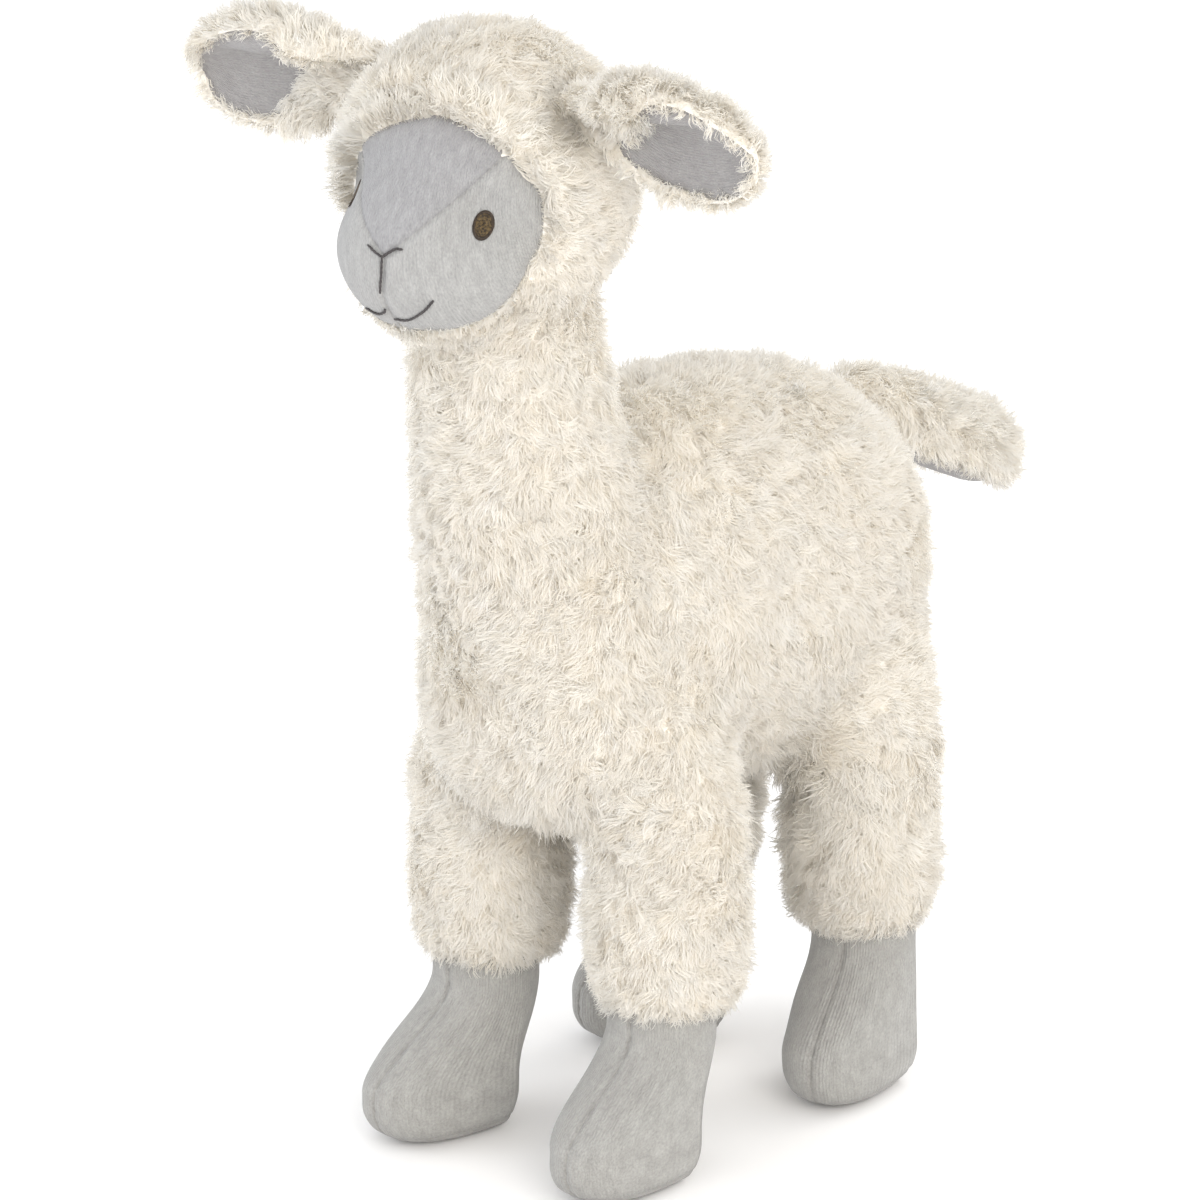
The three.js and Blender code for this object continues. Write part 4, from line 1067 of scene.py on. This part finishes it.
def boot_panel(leg, kind, hand):
    """One half of a boot's upper, or its sole for hand 0, sunk along the seams."""
    side, x, y, _ = LEGS[leg]
    forward, lean, toe_out = BOOT_SET[leg]
    if hand:
        z = SOLE_SEAM + (BOOT_TOP - SOLE_SEAM) * np.linspace(0, 1, BOOT_ROWS) ** 1.25
        angle = hand * math.pi * crowded(BOOT_COLUMNS)
    else:
        z = np.concatenate([SOLE_SEAM * np.linspace(1, 0, SOLE_ROWS), np.zeros(SOLE_ROWS - 1)])
        angle = np.linspace(0, math.tau, 2 * BOOT_COLUMNS, endpoint=False)
    height, angle = np.meshgrid(z, angle, indexing="ij")
    u, v = boot_ring(height, angle)
    if not hand:
        shrink = np.concatenate([np.ones(SOLE_ROWS), np.linspace(1, 0.02, SOLE_ROWS)[1:]])[:, None]
        u, v = u * shrink, v * shrink
    flat = np.stack([u, v, height], -1)
    out = unit(np.stack([u / BOOT_HALF**2, v / np.where(v < 0, TOE_REACH, HEEL_REACH) ** 2,
                         np.zeros_like(u)], -1))
    pucker = 1 + 0.3 * np.sin(height / PUCKER_PITCH * math.pi)
    seam = pucker * np.exp(-((u / FRONT_SEAM_WIDTH) ** 2))
    ring = np.exp(-(((height - SOLE_SEAM) / SOLE_SEAM_WIDTH) ** 2))
    seam = np.maximum(seam, 0.6 * ring * (1 + 0.3 * np.sin(angle * 24)))
    if not hand:
        seam[SOLE_ROWS:] = 0
    swell = SWELL * waves(flat.reshape(-1, 3) + np.array([x, y, 0]), SWELL_PITCH, 5).reshape(u.shape)
    swell *= smooth(height / 0.01)
    flat = flat + out * (swell - BOOT_SEAM_DEPTH * seam)[..., None]
    flat[..., 1] -= lean * flare(height)
    turn = side * math.radians(toe_out)
    c, s = math.cos(turn), math.sin(turn)
    verts = np.stack([flat[..., 0] * c - flat[..., 1] * s + x,
                      flat[..., 0] * s + flat[..., 1] * c + y - forward, flat[..., 2]], -1)
    quads = grid_quads(*u.shape, closed=not hand)
    if hand <= 0:
        quads = quads[:, ::-1]
    obj = new_object(f"{leg}_boot_{kind}", verts, quads, BOOT_VELOUR)
    girth, tall = (angle * ANKLE, height) if hand else (u, v)
    set_uv(obj, "Nap", girth / MM, tall / MM)
    # The seam attribute darkens the velour along the seams: painted shade in the grooves
    set_values(obj, "seam", np.clip(seam, 0, 1))
    stand_in([f"{leg}_boot_{kind}"])
    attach(obj, f"{leg}_leg")


for leg, (side, *_) in LEGS.items():
    boot_panel(leg, "outer_panel", side)
    boot_panel(leg, "inner_panel", -side)
    boot_panel(leg, "sole", 0)


# Ears and tail

def leaf_share(t, root_share):
    grow = root_share + (1 - root_share) * smooth(t / 0.5)
    tip = np.clip((t - 0.5) / 0.5, 0, 1)
    return grow * (1 - tip**2.2) ** (1 / 2.2)


class Leaf:
    """A sewn ear or tail: where it is rooted, the way it runs and the way its lining faces."""

    def __init__(self, root, run, across, facing, **sizes):
        self.root, self.run, self.across, self.facing = root, run, across, facing
        vars(self).update(sizes)

    def shape(self, t):
        return (leaf_share(t, self.root_share) * smooth((t + 0.17) / 0.22))[:, None]

    def sections(self, t):
        """Control points of the lining's cross-section at each t: share of the half width, mm forward."""
        opened = smooth((t - 0.08) / 0.30)[:, None, None]
        eased = smooth((t - 0.45) / 0.45)[:, None, None]
        rooted, rolled, plain = (np.array(form) for form in self.forms)
        section = rolled + eased * (plain - rolled)
        return rooted + opened * (section - rooted)

    def window(self, t):
        """The part of each cross-section that the pile leaves bare, from -1 to 1 across the leaf."""
        at, low, high = spline(np.array([self.bare]), np.linspace(-1, 1, 240))[0].T
        return np.interp(t, at, low), np.interp(t, at, high)

    def place(self, t, flat):
        """Spots from (share of the half width, mm forward) pairs at each t."""
        share = self.shape(t)
        deep = np.minimum(1, 1.4 * share)
        return (self.root + self.run * (t * self.length)[:, None, None]
                + self.across * (flat[..., 0] * share * self.half)[..., None]
                + self.facing * (flat[..., 1] * deep * MM)[..., None])

    def lining(self, rows, columns):
        t = np.sin(math.pi / 2 * np.linspace(0.02, 0.985, rows))
        share = np.linspace(-0.98, 0.98, columns)[None]
        spots = self.place(t, spline(self.sections(t), share))
        along = np.broadcast_to(t[:, None] * self.length, spots.shape[:2])
        step = np.diff(spots, axis=1, prepend=spots[:, :1])
        girth = np.cumsum(np.linalg.norm(step, axis=2), axis=1)
        low, high = self.window(t)
        bare = (share > low[:, None]) & (share < high[:, None])
        return spots, (girth / MM, along / MM), bare

    def cover(self, rows, columns):
        """The back, with a band at either edge that comes round in front and dips under the lining."""
        t = np.sin(math.pi / 2 * np.linspace(-0.13, 0.998, rows))
        low, high = self.window(t)
        share = np.linspace(0, 1, columns)[None]
        control = self.sections(t)
        under = self.tuck * smooth((high - low) / 0.3)[:, None]
        fronts = []
        for inner, outer_edge in ((low, -1.0), (high, 1.0)):
            band = spline(control, inner[:, None] + (outer_edge - inner[:, None]) * share)
            band[..., 1] += self.lift * smooth(share / 0.5) - under * (1 - smooth(share / 0.3))
            fronts.append(band)
        turn = np.linspace(0, math.pi, 2 * columns)[None]
        first, last = fronts[0][:, -1:], fronts[1][:, -1:]
        mix = (0.5 - 0.5 * np.cos(turn))[..., None]
        back = first + (last - first) * mix
        back[..., 1] -= self.depth * np.sin(turn) ** 0.8
        return self.place(t, np.concatenate([fronts[0], back[:, 1:-1], fronts[1][:, ::-1]], 1))


def faced(spots, quads, away):
    """The quads turned so that most of them face away from the given points."""
    flat = spots.reshape(-1, 3)
    a, b, d = flat[quads[:, 0]], flat[quads[:, 1]], flat[quads[:, 3]]
    outward = (np.cross(b - a, d - a) * (a - away)).sum()
    return quads if outward > 0 else quads[:, ::-1]


LEAF_RISE, ROOT_FLATTER, EDGE_SHORTER, LEAF_DENSER = 0.62, 0.16, 0.0030, 1.15
COVER_GRID, LINING_GRID = (64, 18), (70, 80)


def leaf_pieces(name, nodes, leaf, style, long, seed):
    """A fur back whose edges come round to the front, and the velour lining between them."""
    grid = leaf.cover(*COVER_GRID)
    along = (grid - leaf.root) @ leaf.run
    axis = leaf.root + leaf.run * along[..., None]
    axis = (axis + leaf.facing * 0.002).reshape(-1, 3)
    quads = grid_quads(*grid.shape[:2])
    quads = faced(grid, quads, axis[quads[:, 0]])
    verts = grid.reshape(-1, 3)
    tris = np.concatenate([quads[:, [0, 1, 2]], quads[:, [0, 2, 3]]])

    def flow(spots):
        sideways = (spots - leaf.root) @ leaf.across / leaf.half
        return leaf.run * 0.6 + leaf.across * (sideways + 0.1)[:, None] - UP * 0.05

    lining, nap, bare = leaf.lining(*LINING_GRID)
    pad, shown = lining.reshape(-1, 3), lining[bare]

    def by_lining(spots):
        """1 next to the bare part of the lining, falling to 0 some way off."""
        gap = np.linalg.norm(spots - shown[nearest(shown, spots)], axis=1)
        return smooth((0.0050 - gap) / 0.0030)

    def at_root(spots):
        return smooth((0.30 - (spots - leaf.root) @ leaf.run / leaf.length) / 0.15)

    style = dict(style)
    style["length"] = lambda p: long(p) - EDGE_SHORTER * by_lining(p)
    style["rise"] = lambda p: LEAF_RISE - ROOT_FLATTER * at_root(p)
    furred(name, (verts, tris, vertex_normals(verts, tris)), nodes[:1],
           flow, style, DENSITY * LEAF_DENSER, seed, leaf.run)
    quads = grid_quads(*lining.shape[:2])
    quads = faced(lining, quads, pad[quads[:, 0]] - leaf.facing)
    piece = new_object(f"{name}_lining", lining, quads, LINING_VELOUR)
    set_uv(piece, "Nap", *nap)
    stand_in(nodes[1:])
    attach(piece, name)


EAR_STYLE = dict(STYLE, gather=0.35, stray=0.5)
EAR_FORMS = ([
    (-1.0, 3.4), (-0.80, 2.4), (-0.45, 0.6), (-0.10, -0.4), (0.20, 0.2), (0.42, 1.8), (0.42, 4.6),
    (0.50, 6.4), (0.70, 7.0), (0.90, 5.6), (1.0, 3.6)], [
    (-1.0, 4.6), (-0.85, 3.6), (-0.50, 0.4), (-0.10, -1.4), (0.22, -0.8), (0.44, 1.4), (0.42, 5.2),
    (0.53, 8.0), (0.74, 9.0), (0.94, 7.0), (1.03, 4.0)], [
    (-1.0, 4.4), (-0.85, 3.6), (-0.50, 1.0), (-0.10, -0.4), (0.20, -0.2), (0.42, 0.7), (0.55, 1.6),
    (0.68, 2.6), (0.80, 3.4), (0.92, 4.0), (1.0, 4.2)])
# Bare part of each lining: share of the ear's length, then the pile's lower and upper edge across it
EAR_BARE = {
    "left": [
        (0.21, -0.74, -0.74), (0.27, -0.83, -0.60), (0.35, -0.81, -0.36), (0.45, -0.80, 0.08),
        (0.55, -0.82, 0.60), (0.66, -0.88, 0.76), (0.78, -0.92, 0.86), (0.88, -0.90, 0.86),
        (0.95, -0.78, 0.76), (0.985, -0.02, 0.02)],
    "right": [
        (0.34, -0.05, 0.10), (0.41, -0.42, 0.60), (0.49, -0.53, 0.74), (0.58, -0.70, 0.78),
        (0.68, -0.86, 0.76), (0.80, -0.92, 0.68), (0.90, -0.90, 0.50), (0.955, -0.76, 0.24),
        (0.985, -0.22, -0.18)],
}
EAR_FALL, EAR_LONG = {"left": 2.5, "right": 9.5}, {"left": 0.0725, "right": 0.0710}
EAR_SAG = {"left": 0.0025, "right": 0.0005}
EAR_AZIMUTH, EAR_ELEVATION, EAR_DISTANCE, EAR_FACING = 85.0, 37.0, 0.048, -24.0


def ear_pile(spots):
    """Length of an ear's pile, which grows towards its tip."""
    return 0.0064 + 0.0020 * smooth((np.abs(spots[:, 0]) - 0.048) / 0.022)


for hand, side in SIDES.items():
    run = direction(side * EAR_AZIMUTH, -EAR_FALL[hand])
    across = unit(np.cross(run, direction(0.0, EAR_FACING)) * -side)
    root = HEAD + direction(side * EAR_AZIMUTH, EAR_ELEVATION) * EAR_DISTANCE - across * EAR_SAG[hand]
    ear = Leaf(root, run, across, unit(np.cross(across, run) * -side), root_share=0.36, tuck=1.2,
               length=EAR_LONG[hand], half=0.0185, forms=EAR_FORMS, bare=EAR_BARE[hand],
               depth=9.5, lift=0.6)
    nodes = f"{hand}_ear_back", f"{hand}_ear_lining"
    leaf_pieces(f"{hand}_ear", nodes, ear, EAR_STYLE, ear_pile, 300 + side)

TAIL_FORM = [(-1.0, 4.5), (-0.82, 6.6), (-0.5, 9.0), (0.0, 10.0), (0.5, 9.0), (0.82, 6.6), (1.0, 4.5)]
# Bare part of the tail's lining: share of its length, then half the share across it
TAIL_BARE = [
    (0.06, 0.0), (0.10, 0.38), (0.15, 0.58), (0.22, 0.70), (0.35, 0.72), (0.55, 0.72), (0.70, 0.70),
    (0.82, 0.60), (0.90, 0.45), (0.945, 0.26), (0.965, 0.0)]
TAIL_ROOT, TAIL_FALL, TAIL_PILE = np.array([0.0, 0.0702, 0.210]), math.radians(24), 0.0092
c, s = math.cos(TAIL_FALL), math.sin(TAIL_FALL)
tail = Leaf(TAIL_ROOT, np.array([0, c, -s]), np.array([1.0, 0, 0]), np.array([0, -s, -c]),
            root_share=0.6, length=0.085, half=0.0200, forms=[TAIL_FORM] * 3,
            bare=[(t, -wide, wide) for t, wide in TAIL_BARE], depth=18.0, lift=0.5, tuck=1.2)
leaf_pieces("tail", ("tail_top", "tail_lining"), tail, STYLE, lambda p: np.full(len(p), TAIL_PILE), 310)
